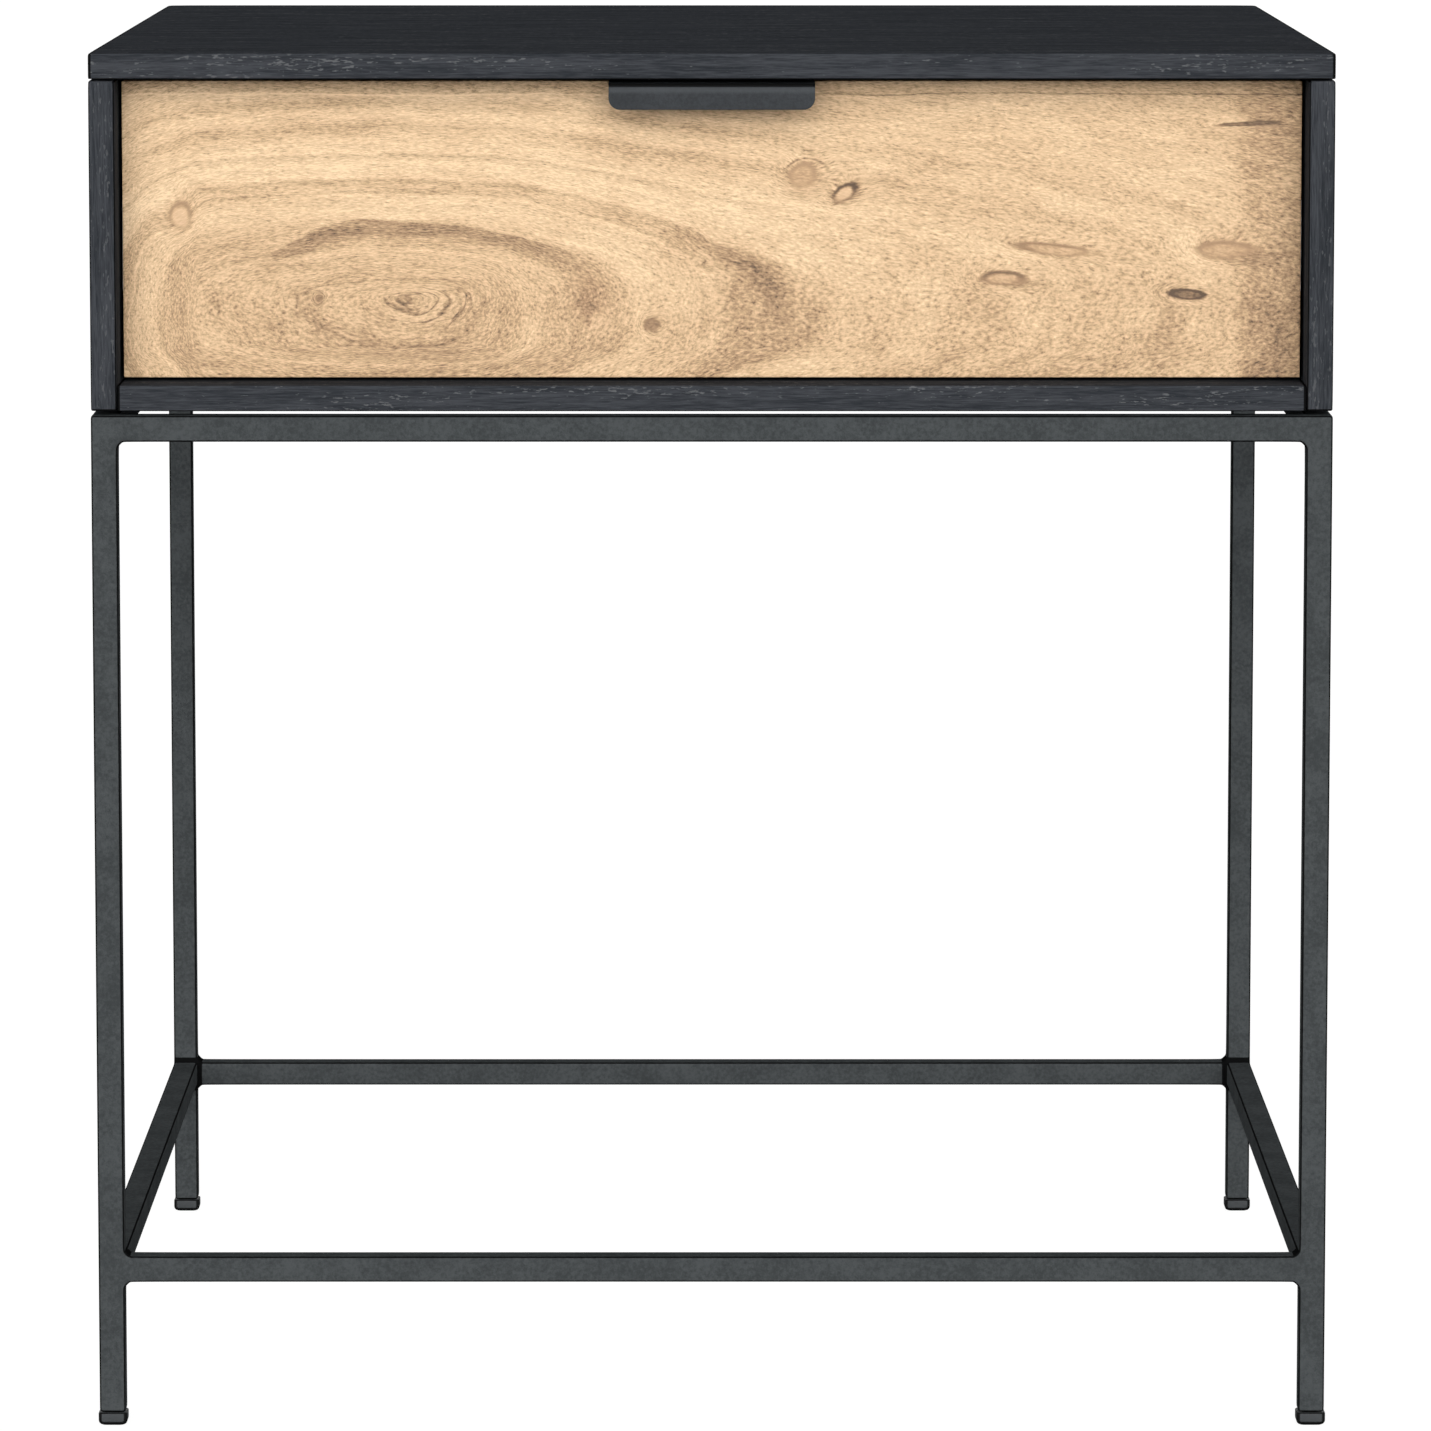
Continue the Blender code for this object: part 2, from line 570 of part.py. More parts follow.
def main():
    for leftover in list(bpy.data.objects):
        bpy.data.objects.remove(leftover, do_unlink=True)
    drawer_carrier = make_carrier("drawer_carrier", (0, FACE_Y, SLIDE_Z))
    carriers = {"drawer": drawer_carrier}
    for side, sign in SIDES:
        for kind in ("middle", "outer_cage", "inner_cage"):
            place = (sign * HALF_OPENING, SLIDE_MID_Y, SLIDE_Z)
            carriers[kind, side] = make_carrier(f"{side}_{kind}_carrier", place)

    side_rails = build_frame()
    case = build_case()
    build_frame_fixings(side_rails, case)
    walls = build_drawer(drawer_carrier)
    build_pull(walls["drawer_front"], drawer_carrier)
    for side, sign in SIDES:
        build_slide(side, sign, case[side + "_side_panel"], walls[f"drawer_{side}_side"], carriers)


main()
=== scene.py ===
# %% [markdown]
# # A side table with one drawer
#
# The table has three things to look at. A base is welded from one square steel tube. A box of black-washed
# wood sits on it, open at the front. A drawer with a pale acacia front runs in the box on two telescopic
# slides.
#
# The part's solids already say where every piece goes and how it moves. This lesson gives each of them its
# finished surface. Edges are eased, welds run together, sheet is bent and wood has its grain.

import bpy
import numpy as np
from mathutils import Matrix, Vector


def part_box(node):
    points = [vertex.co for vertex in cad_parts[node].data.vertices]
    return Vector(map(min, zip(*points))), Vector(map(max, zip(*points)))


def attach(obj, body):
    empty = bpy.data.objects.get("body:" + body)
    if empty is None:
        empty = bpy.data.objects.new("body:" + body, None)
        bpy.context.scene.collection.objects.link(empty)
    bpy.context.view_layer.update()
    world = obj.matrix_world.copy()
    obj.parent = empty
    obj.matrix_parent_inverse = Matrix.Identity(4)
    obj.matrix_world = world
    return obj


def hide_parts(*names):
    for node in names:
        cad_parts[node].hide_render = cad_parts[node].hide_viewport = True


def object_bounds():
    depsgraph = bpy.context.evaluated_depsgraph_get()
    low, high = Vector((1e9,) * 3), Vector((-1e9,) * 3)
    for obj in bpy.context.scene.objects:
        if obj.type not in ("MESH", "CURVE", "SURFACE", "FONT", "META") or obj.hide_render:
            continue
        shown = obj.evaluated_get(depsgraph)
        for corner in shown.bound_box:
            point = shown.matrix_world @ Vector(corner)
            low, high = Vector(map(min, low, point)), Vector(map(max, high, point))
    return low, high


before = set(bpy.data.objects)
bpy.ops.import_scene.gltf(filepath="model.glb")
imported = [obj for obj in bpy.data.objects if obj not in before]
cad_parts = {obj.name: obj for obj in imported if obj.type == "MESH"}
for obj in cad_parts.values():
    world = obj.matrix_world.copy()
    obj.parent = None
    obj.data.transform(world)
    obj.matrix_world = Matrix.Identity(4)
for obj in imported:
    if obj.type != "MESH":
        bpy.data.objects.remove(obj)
cad_low, cad_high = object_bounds()
scene = bpy.context.scene
MM = 0.001
print("CAD box, mm:", [round(v / MM, 1) for v in (cad_high - cad_low)])


# %% [markdown]
# ## How a piece gets its place
#
# Nothing here is placed by hand. Each piece starts from the box of the solid that it stands for, so it
# follows the part if the part changes. A finished piece rides on one of the part's bodies, which moves it
# with the drawer.

# %% Boxes and pieces
def box_of(node):
    """The lowest and the highest corner of a solid at rest, as two arrays in metres."""
    low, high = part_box(node)
    return np.array(low), np.array(high)


def make_piece(name, points, faces, finish, body, nodes):
    """A smooth mesh from corner points and faces, which stands for some solids and rides on their body."""
    mesh = bpy.data.meshes.new(name)
    mesh.from_pydata(np.asarray(points).tolist(), [], faces)
    mesh.shade_smooth()
    mesh.materials.append(finish)
    piece = bpy.data.objects.new(name, mesh)
    scene.collection.objects.link(piece)
    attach(piece, body)
    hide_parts(*nodes)
    return piece


def round_over(piece, levels):
    """Rounds the piece's cage with a Subdivision Surface, the same for the view and for the render."""
    modifier = piece.modifiers.new("round_over", "SUBSURF")
    modifier.levels = modifier.render_levels = levels
    return piece


# %% [markdown]
# ## Shader sums written as Python
#
# A node tree is easier to read as a formula. The class below wraps one output socket. Its operators add
# Math nodes, so `1 - mask` is an Invert without hunting for one. Every other node comes from its single
# method `node`, which makes the node, sets it up, and fills or links its inputs.

# %% The socket class
class Wire:
    """One output of a shader node, with arithmetic."""

    def __init__(self, tree, socket=None):
        self.tree, self.socket = tree, socket

    def node(self, kind, settings=None, inputs=None, output=0):
        """Adds a node of this kind, applies its settings, fills its inputs, and wraps one of its outputs."""
        made = self.tree.nodes.new("ShaderNode" + kind)
        for key, value in (settings or {}).items():
            if key == "stops":
                elements = made.color_ramp.elements
                elements.remove(elements[1])
                elements[0].position, elements[0].color = value[0]
                for position, colour in value[1:]:
                    elements.new(position).color = colour
            else:
                setattr(made, key, value)
        for key, value in (inputs or {}).items():
            if isinstance(value, Wire):
                self.tree.links.new(value.socket, made.inputs[key])
            else:
                made.inputs[key].default_value = value
        return Wire(self.tree, made.outputs[output] if len(made.outputs) else None)

    def math(self, operation, first, second=0.0):
        """One Math node on two numbers, either of which may be a wire."""
        return self.node("Math", {"operation": operation}, {0: first, 1: second})

    def __add__(self, other):
        return self.math("ADD", self, other)

    __radd__ = __add__

    def __sub__(self, other):
        return self.math("SUBTRACT", self, other)

    def __rsub__(self, other):
        return self.math("SUBTRACT", other, self)

    def __mul__(self, other):
        return self.math("MULTIPLY", self, other)

    __rmul__ = __mul__

    def __truediv__(self, other):
        return self.math("DIVIDE", self, other)

    def __pow__(self, other):
        return self.math("POWER", self, other)

    def __abs__(self):
        return self.math("ABSOLUTE", self)


# %% Words for common nodes
def step_up(value, low, high, start=0.0, end=1.0):
    """A soft step: start up to low, end beyond high, and an S-shaped ramp between them."""
    return value.node(
        "MapRange",
        {"interpolation_type": "SMOOTHSTEP"},
        {"Value": value, "From Min": low, "From Max": high, "To Min": start, "To Max": end},
    )


def hump(value, centre, width):
    """1 at the centre, falling to 0 at a distance of width on both sides."""
    return step_up(abs(value - centre), 0.0, width, 1.0, 0.0)


def speckle(place, scale, detail=2.0, roughness=0.5, distortion=0.0):
    """Noise of about 0 to 1, with features of about 1/scale metres."""
    return place.node(
        "TexNoise",
        None,
        {"Vector": place, "Scale": scale, "Detail": detail, "Roughness": roughness, "Distortion": distortion},
    )


def larger(first, second):
    """The larger of two numbers."""
    return first.math("MAXIMUM", first, second)


def on_the_rounds(place, except_upper_front=False):
    """0 on faces that look along an axis and 1 on the rounds between them.

    It asks how far the longest part of the surface's direction falls short of 1. The rounds that look
    forward and up, and not to a side, can be left out.
    """
    facing = place.node("NewGeometry", output="Normal")
    x, y, z = (facing.node("SeparateXYZ", None, {0: facing}, axis) for axis in "XYZ")
    rounds = step_up(larger(larger(abs(x), abs(y)), abs(z)), 0.99, 0.93)
    if except_upper_front:
        rounds = rounds * larger(step_up(abs(x), 0.1, 0.3), step_up(z, 0.0, 0.2, 1.0, 0.0))
    return rounds


def stretched(place, x, y, z):
    """The place with each axis multiplied by its own number, for streaks."""
    return place.node("VectorMath", {"operation": "MULTIPLY"}, {0: place, 1: (x, y, z)})


def blend(amount, first, second):
    """The first colour at 0, the second at 1."""
    return amount.node("Mix", {"data_type": "RGBA"}, {"Factor": amount, 6: first, 7: second}, 2)


def with_painted_shade_on_rounds(place, colour, black, except_upper_front=False):
    """The colour on flat faces, and painted shade, nearly all black, on the rounds."""
    return blend(on_the_rounds(place, except_upper_front) * 0.95, colour, black)


def finish_named(name):
    """A new material with an empty tree, and a wire for its Object coordinates."""
    material = bpy.data.materials.new(name)
    material.use_nodes = True
    material.node_tree.nodes.clear()
    return material, Wire(material.node_tree).node("TexCoord", output="Object")


def complete(place, colour, roughness, height, depth, constants=None):
    """Ends a finish with its shader.

    Height, times depth in metres, is felt as a bump. The constants are set on the shader's own sockets.
    """
    normal = place.node("Bump", None, {"Strength": 1.0, "Distance": depth, "Height": height})
    inputs = {"Base Color": colour, "Roughness": roughness, "Normal": normal, **(constants or {})}
    shader = place.node("BsdfPrincipled", None, inputs)
    place.node("OutputMaterial", None, {"Surface": shader})


# %% [markdown]
# ## Black-washed wood
#
# The box is an open-grained wood under a thin black wash. The wash leaves the grain to be felt, and it
# misses some of the pores, which stay as short pale dashes along the grain. Noise stretched along one axis
# makes both. The axis is a choice, because the boards at the sides stand upright, and their grain stands
# with them.

# %% Black-washed wood
# How much finer the noise is across the grain than along it: 16 times for fibres, 4 times for missed pores.
ALONG = {"x": (1.0, 16.0, 16.0), "y": (16.0, 1.0, 16.0), "z": (16.0, 16.0, 1.0)}
DASH = {"x": (1.0, 4.0, 4.0), "z": (4.0, 4.0, 1.0)}
WASH_DARK, WASH_PALE = (0.026, 0.029, 0.034, 1), (0.058, 0.062, 0.070, 1)
# The pale of the pores that the wash missed, and the painted shade on the boards' rounds.
MISSED_PORE, PAINTED_SHADE_ON_WOOD_ROUNDS = (0.19, 0.195, 0.20, 1), (0.004, 0.004, 0.004, 1)


def black_washed_wood(grain, missed):
    """Slate-black wood with its grain along x or z. Missed is how pale the pores are that the wash missed."""
    material, place = finish_named("black_washed_wood_" + grain)
    fibre = stretched(place, *ALONG[grain])
    tone = speckle(fibre, 14.0, 4.0, 0.6)
    fine = speckle(fibre, 90.0, 3.0, 0.65)
    cluster = speckle(fibre, 10.0, 3.0)
    dash = speckle(stretched(place, *DASH[grain]), 230.0, 2.0, 0.6)
    pale = step_up(dash + (cluster - 0.5) * 0.6, 0.63, 0.73)
    colour = blend(step_up(tone * 0.45 + fine * 0.55, 0.36, 0.64), WASH_DARK, WASH_PALE)
    colour = blend(pale * missed, colour, MISSED_PORE)
    # Painted shade: the rounds go nearly black, except the ones that look forward and up.
    colour = with_painted_shade_on_rounds(place, colour, PAINTED_SHADE_ON_WOOD_ROUNDS, except_upper_front=True)
    complete(place, colour, 0.6 + fine * 0.3, fine * 0.7 + dash * 0.3 - pale * 0.3, 0.0003,
             {"Specular IOR Level": 0.0})
    return material


case_wood_across = black_washed_wood("x", 0.50)
case_wood_upright = black_washed_wood("z", 0.28)
print("case wood:", case_wood_across.name, "and", case_wood_upright.name)


# %% [markdown]
# ## Lacquered steel
#
# The tube and the pull are steel under a dark matte lacquer. Its colour drifts a little in soft clouds, and
# a fine grain breaks it up. Painted shade makes every round nearly black, so each edge is drawn with a dark
# line. On the pull, a paler band just under the bend is a painted highlight.

# %% Lacquered steel
# The painted shade on every round, and the colour of the painted highlight on the pull. Then how far under
# the pull's top the highlight's middle lies, and its half height.
PAINTED_SHADE_ON_ROUNDS, PAINTED_HIGHLIGHT = (0.003, 0.003, 0.003, 1), (0.080, 0.087, 0.093, 1)
HIGHLIGHT_DROP, HIGHLIGHT_HALF = 3.4 * MM, 2.4 * MM


def lacquered_steel(name, dark, light, constants, highlight_height=None):
    """Dark matte steel between two close colours. Highlight height is the height of a painted highlight's
    paler band, in metres.
    """
    material, place = finish_named(name)
    clouds = speckle(place, 45.0, 4.0, 0.6)
    grain = speckle(place, 520.0, 3.0, 0.7)
    colour = blend(step_up(clouds * 0.4 + grain * 0.6, 0.36, 0.64), dark, light)
    if highlight_height:
        height = place.node("SeparateXYZ", None, {0: place}, "Z")
        # Painted highlight: a paler band just under the bend, where the bend would catch the light.
        colour = blend(hump(height, highlight_height, HIGHLIGHT_HALF) * 0.5, colour, PAINTED_HIGHLIGHT)
    # Painted shade: every round goes nearly black.
    colour = with_painted_shade_on_rounds(place, colour, PAINTED_SHADE_ON_ROUNDS)
    complete(place, colour, 0.50 + grain * 0.2, grain + clouds * 0.3, 0.0002, constants)
    return material


frame_steel = lacquered_steel("lacquered_tube", (0.048, 0.053, 0.055, 1), (0.074, 0.081, 0.084, 1),
                              {"Specular IOR Level": 0.0})
pull_steel = lacquered_steel("lacquered_pull", (0.032, 0.035, 0.038, 1), (0.046, 0.050, 0.055, 1),
                             {"Metallic": 0.2, "Specular IOR Level": 0.1},
                             highlight_height=box_of("drawer_pull")[1][2] - HIGHLIGHT_DROP)
print("steel:", frame_steel.name, "and", pull_steel.name)


# %% [markdown]
# ## Plastic, plated steel and plain wood
#
# The small and hidden pieces have four plain finishes. Foot caps and spacers are grained black plastic. The
# slides are zinc-plated, and the frame's and the pull's screws have a black oxide. The drawer's box is pale
# wood with broad soft bands. All four are noise between two close colours, each with its own scale.

# %% Plastic, zinc and box wood
def moulded_plastic():
    """Black plastic with the fine grain of its mould."""
    material, place = finish_named("moulded_plastic")
    grain = speckle(place, 1500.0, 2.0)
    colour = blend(speckle(place, 120.0, 3.0), (0.050, 0.054, 0.057, 1), (0.072, 0.077, 0.081, 1))
    # Painted shade: the rounds go nearly black.
    colour = with_painted_shade_on_rounds(place, colour, PAINTED_SHADE_ON_ROUNDS)
    complete(place, colour, 0.45 + grain * 0.2, grain, 0.0001, {"Specular IOR Level": 0.1})
    return material


def plated(name, dark, light):
    """Plated steel: bright patches, drawn lines along the depth and a little dullness."""
    material, place = finish_named(name)
    patches = speckle(place, 70.0, 5.0, 0.7)
    drawn = speckle(stretched(place, 12.0, 1.0, 12.0), 120.0, 3.0)
    colour = blend(step_up(patches, 0.35, 0.65), dark, light)
    complete(place, colour, 0.26 + patches * 0.2 + drawn * 0.08, drawn * 0.5 + patches * 0.5, 0.0001,
             {"Metallic": 0.6})
    return material


def box_wood(grain):
    """Pale, plain wood of the drawer's box with its grain along x or y."""
    material, place = finish_named("box_wood_" + grain)
    fibre = stretched(place, *ALONG[grain])
    bands = speckle(fibre, 5.0, 3.0, 0.55, 0.4)
    fine = speckle(fibre, 60.0, 3.0, 0.6)
    colour = blend(step_up(bands, 0.3, 0.7), (0.60, 0.42, 0.25, 1), (0.74, 0.56, 0.37, 1))
    colour = blend(step_up(fine, 0.55, 0.75) * 0.4, colour, (0.42, 0.27, 0.15, 1))
    complete(place, colour, 0.55 + fine * 0.15, fine, 0.0002, {"Specular IOR Level": 0.3})
    return material


foot_plastic = moulded_plastic()
zinc = plated("zinc_plate", (0.48, 0.50, 0.52, 1), (0.66, 0.68, 0.70, 1))
black_oxide = plated("black_oxide", (0.030, 0.031, 0.034, 1), (0.060, 0.062, 0.066, 1))
box_wood_across, box_wood_deep = box_wood("x"), box_wood("y")
plain_finishes = (foot_plastic, zinc, black_oxide, box_wood_across, box_wood_deep)
print("small pieces:", ", ".join(finish.name for finish in plain_finishes))


# %% [markdown]
# ## Acacia
#
# The drawer front is one wide acacia board, sawn close to a knot. Its growth rings are long ovals round a
# point on the left, and farther out they open into nearly level lines. A solid noise can't give ovals of
# that shape, so the material works out a ring number for each point of the board. Everything else follows
# it: the dark and pale bands, the fine lines, and the pores, which are short dashes along the rings. Knots
# and streaks are single ovals.

# %% The rings' shape
# Each pair is a place in metres from the heart, and the number of the ring that passes there: along the
# level line through the heart, and straight below it. Straight above it a ring's number is its height.
RINGS_LEVEL = [(-0.154, 0.060), (-0.142, 0.053), (-0.134, 0.044), (-0.122, 0.036), (-0.108, 0.023),
               (-0.059, 0.010), (0.0, 0.0), (0.033, 0.010), (0.060, 0.023), (0.103, 0.038),
               (0.148, 0.051), (0.182, 0.056), (0.301, 0.073), (0.460, 0.100)]
RINGS_BELOW = [(-0.045, 0.032), (-0.0325, 0.023), (-0.0239, 0.010), (0.0, 0.0)]
# The tone of each ring, 0 for the palest wood and 1 for the darkest band.
BANDS = [(0.0000, 0.50), (0.0030, 0.26), (0.0088, 0.34), (0.0100, 0.52), (0.0110, 0.34), (0.0150, 0.38),
         (0.0220, 0.30), (0.0234, 0.17), (0.0250, 0.34), (0.0330, 0.38), (0.0385, 0.30), (0.0400, 0.12),
         (0.0480, 0.16), (0.0500, 0.26), (0.0508, 0.10), (0.0522, 0.44), (0.0535, 0.36), (0.0580, 0.48),
         (0.0592, 0.14), (0.0670, 0.06), (0.0700, 0.26), (0.0706, 0.40), (0.0722, 0.10), (0.0790, 0.22),
         (0.0850, 0.44), (0.0875, 0.26), (0.0910, 0.14), (0.0965, 0.42), (0.1000, 0.18), (0.1100, 0.32)]


def curve_through(value, points):
    """A number that runs straight from each (position, number) to the next, by a ramp of greys."""
    low, high = points[0][0], points[-1][0]
    stops = [((x - low) / (high - low), (y, y, y, 1.0)) for x, y in points]
    return value.node("ValToRGB", {"stops": stops}, {0: (value - low) / (high - low)})


def oval(place, x, z, half_long, half_high, lean=0.0):
    """0 at the middle of an oval on the board, 1 on its rim and more outside. Lean is its turn in radians."""
    local = place.node("Mapping", {"vector_type": "TEXTURE"}, {
        "Vector": place, "Location": (x, 0, z), "Rotation": (0, -lean, 0),
        "Scale": (half_long, 10.0, half_high)})
    return place.node("VectorMath", {"operation": "LENGTH"}, {0: local}, "Value")


# %% Knots, streaks and dark marks
# For each knot: level and upright place from the board's middle and its bottom edge, half length, half
# height and lean, in millimetres and radians. Then how dark its heart, its rim and the grain round it are.
KNOTS = [
    (-261.5, 80.1, 4.4, 6.0, 0.0, 0.10, 0.50, 0.15),
    (45.5, 100.0, 6.2, 5.6, 0.1, 0.46, 0.42, 0.35),
    (67.0, 91.1, 6.4, 3.5, 0.5, 0.10, 1.10, 0.40),
    (142.8, 48.6, 9.0, 3.2, 0.0, 0.38, 0.85, 0.30),
    (233.9, 40.7, 8.5, 2.1, -0.1, 1.15, 1.25, 0.30),
    (-31.4, 26.2, 2.6, 2.6, 0.0, 0.90, 0.60, 0.20),
    (168.8, 63.1, 16.0, 2.5, -0.12, 0.42, 0.60, 0.20),
    (252.7, 63.1, 12.0, 3.8, 0.0, 0.50, 0.50, 0.20),
    (264.2, 125.0, 13.5, 0.9, 0.03, 1.10, 0.90, 0.25),
    (-195.0, 39.0, 1.5, 1.5, 0.0, 0.90, 0.60, 0.10),
]
# The arc over the round knot, as an oval from the same point, in metres.
BROW = (47 * MM, 98 * MM, 13 * MM, 10.5 * MM)
# Three ovals about the heart, in metres: where one band darkens to a point, the smudge to the right of the
# heart, and the heart's own fine arcs.
POINT = (0.166, 0.012, 0.034, 0.017, -0.7)
SMUDGE = (0.088, -0.003, 0.012, 0.017, 0.2)
HEARTWOOD = (0.008, -0.004, 0.030, 0.012)
# The ring number of that band, and half its breadth.
POINTED_BAND, POINTED_HALF = 0.0560, 0.0034
# Heights over the board's bottom edge: where the rough strip along the top starts and where it is full, and
# its pale and its dark line. Then how far right of the middle the darker end band starts and is full.
STRIP_LOW, STRIP_HIGH, PALE_LINE, DARK_LINE = 0.1390, 0.1404, 0.1395, 0.1398
END_BAND, END_BAND_FULL = 0.254, 0.268
# The wood's colour by tone, from the palest to the darkest.
ACACIA = [(0.0, (0.93, 0.69, 0.435, 1)), (0.105, (0.815, 0.588, 0.360, 1)), (0.29, (0.730, 0.505, 0.298, 1)),
          (0.48, (0.560, 0.372, 0.211, 1)), (0.67, (0.390, 0.247, 0.140, 1)), (1.0, (0.130, 0.085, 0.055, 1))]
TONE_TO_STOP, REDDISH = 0.75, (0.55, 0.28, 0.16, 1)
# How far noise moves the whole pattern about, in metres.
WANDER = (0.012, 0, 0.005)


def place_by(wire, x, y, z):
    """A place put together from three numbers."""
    return wire.node("CombineXYZ", None, {0: x, 1: y, 2: z})


def crescent_above(u, v):
    """1 in the dark crescent above the heart: an arc, sharp outside, that fades inwards and at its tips.

    Its outer edge stands at height top - bend * (u + shift)^2 over the heart, and bends more on the left.
    """
    top, shift = 0.039, 0.015
    bend = step_up(u, -0.03, 0.01, 5.2, 1.8)
    inwards = top - (v + bend * (u + shift) * (u + shift))
    tips = step_up(u, -0.085, -0.055) * step_up(u, 0.06, 0.105, 1.0, 0.0)
    return step_up(inwards, -0.0006, 0.0010) * step_up(inwards, 0.003, 0.014, 1.0, 0.0) * tips


def heart_marks(middle, u, v, ring, smudge, lines):
    """What is darker round the heart than the rings alone: crescent, point, smudge and fine arcs."""
    point = step_up(oval(middle, *POINT), 0.1, 1.0, 1.0, 0.0) * hump(ring, POINTED_BAND, POINTED_HALF)
    heartwood = step_up(oval(middle, *HEARTWOOD), 0.4, 1.2, 1.0, 0.0)
    wavy = speckle(place_by(middle, ring * 6.0, u * 0.5, v * 0.5), 60.0)
    arcs = step_up(abs(wavy - 0.5), 0.0, 0.05, 0.5, 0.0)
    smudged = smudge * 0.22 * step_up(lines, 0.35, 0.6)
    return crescent_above(u, v) * 0.42 + point * 0.50 + smudged + heartwood * arcs


def edge_marks(x, z, torn):
    """The darker band at the right end, and the torn strip along the top edge with its pale or dark line."""
    strip = step_up(z, STRIP_LOW, STRIP_HIGH) * step_up(torn, 0.45, 0.70) * 0.40
    pale_line = hump(z, PALE_LINE, 0.8 * MM) * 0.35 * step_up(x, -0.06, -0.03, 1.0, 0.0)
    dark_line = hump(z, DARK_LINE, 0.7 * MM) * 0.45 * step_up(x, 0.04, 0.06)
    return (step_up(x, END_BAND, END_BAND_FULL) * 0.30 + strip * step_up(x, -0.06, 0.0, 1.0, 0.45)
            + dark_line - pale_line)


# %% The acacia board
def acacia_board(heart, corner):
    """Acacia with its rings about the heart. Corner is the middle of the board's bottom edge, in metres."""
    material, place = finish_named("acacia_board")
    wobble = {"Vector": stretched(place, 1.0, 1.0, 1.8), "Scale": 22.0, "Detail": 3.0, "Roughness": 0.55}
    wander = place.node("TexNoise", None, wobble, "Color")
    wander = place.node("VectorMath", {"operation": "SUBTRACT"}, {0: wander, 1: (0.5, 0.5, 0.5)})
    shifted = place.node("VectorMath", {"operation": "MULTIPLY_ADD"}, {0: wander, 1: WANDER, 2: place})
    middle = place.node("VectorMath", {"operation": "SUBTRACT"}, {0: shifted, 1: heart})
    u, v = (middle.node("SeparateXYZ", None, {0: middle}, axis) for axis in "XZ")
    on_board = place.node("VectorMath", {"operation": "SUBTRACT"}, {0: shifted, 1: corner})
    x, z = (on_board.node("SeparateXYZ", None, {0: on_board}, axis) for axis in "XZ")

    # Above the heart the ring number is the height itself, below it and to the sides it follows its curve.
    level = curve_through(u, RINGS_LEVEL)
    upright = larger(v, 0.0) + curve_through(v, RINGS_BELOW)
    ring = (level * level + upright * upright) ** 0.5

    # The rings part round each knot.
    knots = []
    for across, up, half_long, half_high, lean, core, rim, halo in KNOTS:
        reach = oval(on_board, across * MM, up * MM, half_long * MM, half_high * MM, lean)
        knots.append((reach, up * MM, half_high * MM, core, rim, halo))
        ring = ring + step_up(reach, 0.6, 3.2, 0.0035, 0.0)

    # Lines and pores run along the rings: they change slowly over the board and fast from ring to ring.
    lines = speckle(place_by(place, u * 0.3, v * 0.3, ring * 3.2), 110.0, 4.0, 0.6)
    pores = speckle(place_by(place, u * 0.6, v * 1.2, ring * 3.2), 540.0, 2.0, 0.6)
    mottle = speckle(stretched(place, 1.0, 1.0, 2.5), 16.0, 4.0, 0.6)
    torn = speckle(stretched(place, 1.0, 1.0, 2.6), 300.0, 3.0, 0.7)
    smudge = step_up(oval(middle, *SMUDGE), 0.3, 1.1, 1.0, 0.0)

    # The bands are weaker to the right, and the board is a little darker below the heart.
    calm = step_up(u, 0.12, 0.26, 1.0, 0.45)
    tone = (curve_through(ring, BANDS) - 0.25) * calm + 0.34 + step_up(v, 0.05, -0.04) * 0.20
    tone = tone + heart_marks(middle, u, v, ring, smudge, lines)
    tone = tone + (mottle - 0.5) * 0.45 + (lines - 0.5) * 0.75
    tone = tone + (pores - 0.5) * 1.70 + step_up(pores, 0.60, 0.78) * 0.17
    tone = tone + edge_marks(x, z, torn)

    # A knot is a heart in a ridge that is darkest at its upper side, with smudged grain round it.
    red = smudge * 0.10
    for smooth, up, half_high, core, rim, halo in knots:
        reach = smooth + (torn - 0.5) * 0.45
        inside = step_up(reach, 0.9, 1.15, 1.0, 0.0)
        ridge = hump(reach, 1.0, 0.45) * step_up(z, up - half_high, up + half_high, 0.5, 1.0)
        tone = tone + step_up(reach, 1.0, 2.6, halo, 0.0) * step_up(lines, 0.35, 0.6)
        tone = tone + (core + 0.12 - tone + (pores - 0.5) * 0.8) * inside * 0.85
        tone = tone + (rim + 0.40 - tone) * ridge * 0.9
        red = larger(red, step_up(reach, 0.6, 1.8, 0.14, 0.0))
    tone = tone + hump(oval(on_board, *BROW), 1.0, 0.10) * step_up(z, 0.102, 0.107) * 0.60

    colour = tone.node("ValToRGB", {"stops": ACACIA}, {0: tone * TONE_TO_STOP})
    colour = blend(red * step_up(tone, 0.7, 1.1, 1.0, 0.1), colour, REDDISH)
    grain = speckle(stretched(place, 1.0, 1.0, 4.0), 420.0, 2.0)
    complete(place, colour, 0.5 + pores * 0.15, grain, 0.0003, {"Specular IOR Level": 0.25})
    return material


front_low, front_high = box_of("drawer_front")
HEART = (-0.1465, 0.0, front_low[2] + 0.0391)
acacia = acacia_board(HEART, (0.0, 0.0, front_low[2]))
print("acacia:", len(BANDS), "points of tone and", len(KNOTS), "knots")


# %% [markdown]
# ## Boards and tube from one lattice
#
# A sawn board with eased edges and a welded frame are the same problem. Both are boxes that run into each
# other, with small rounds on every outer edge, and in the welded frame a small fillet in every inner
# corner. A bevel would need every edge picked, and twelve boxes joined by a Boolean leave a poor mesh. Here
# planes cut space into cells, the cells that hold material are marked, and the skin round them is a clean
# cage of quads. The Subdivision Surface rounds it. A plane close to an edge holds the round small: it comes
# out at 0.57 of that distance.

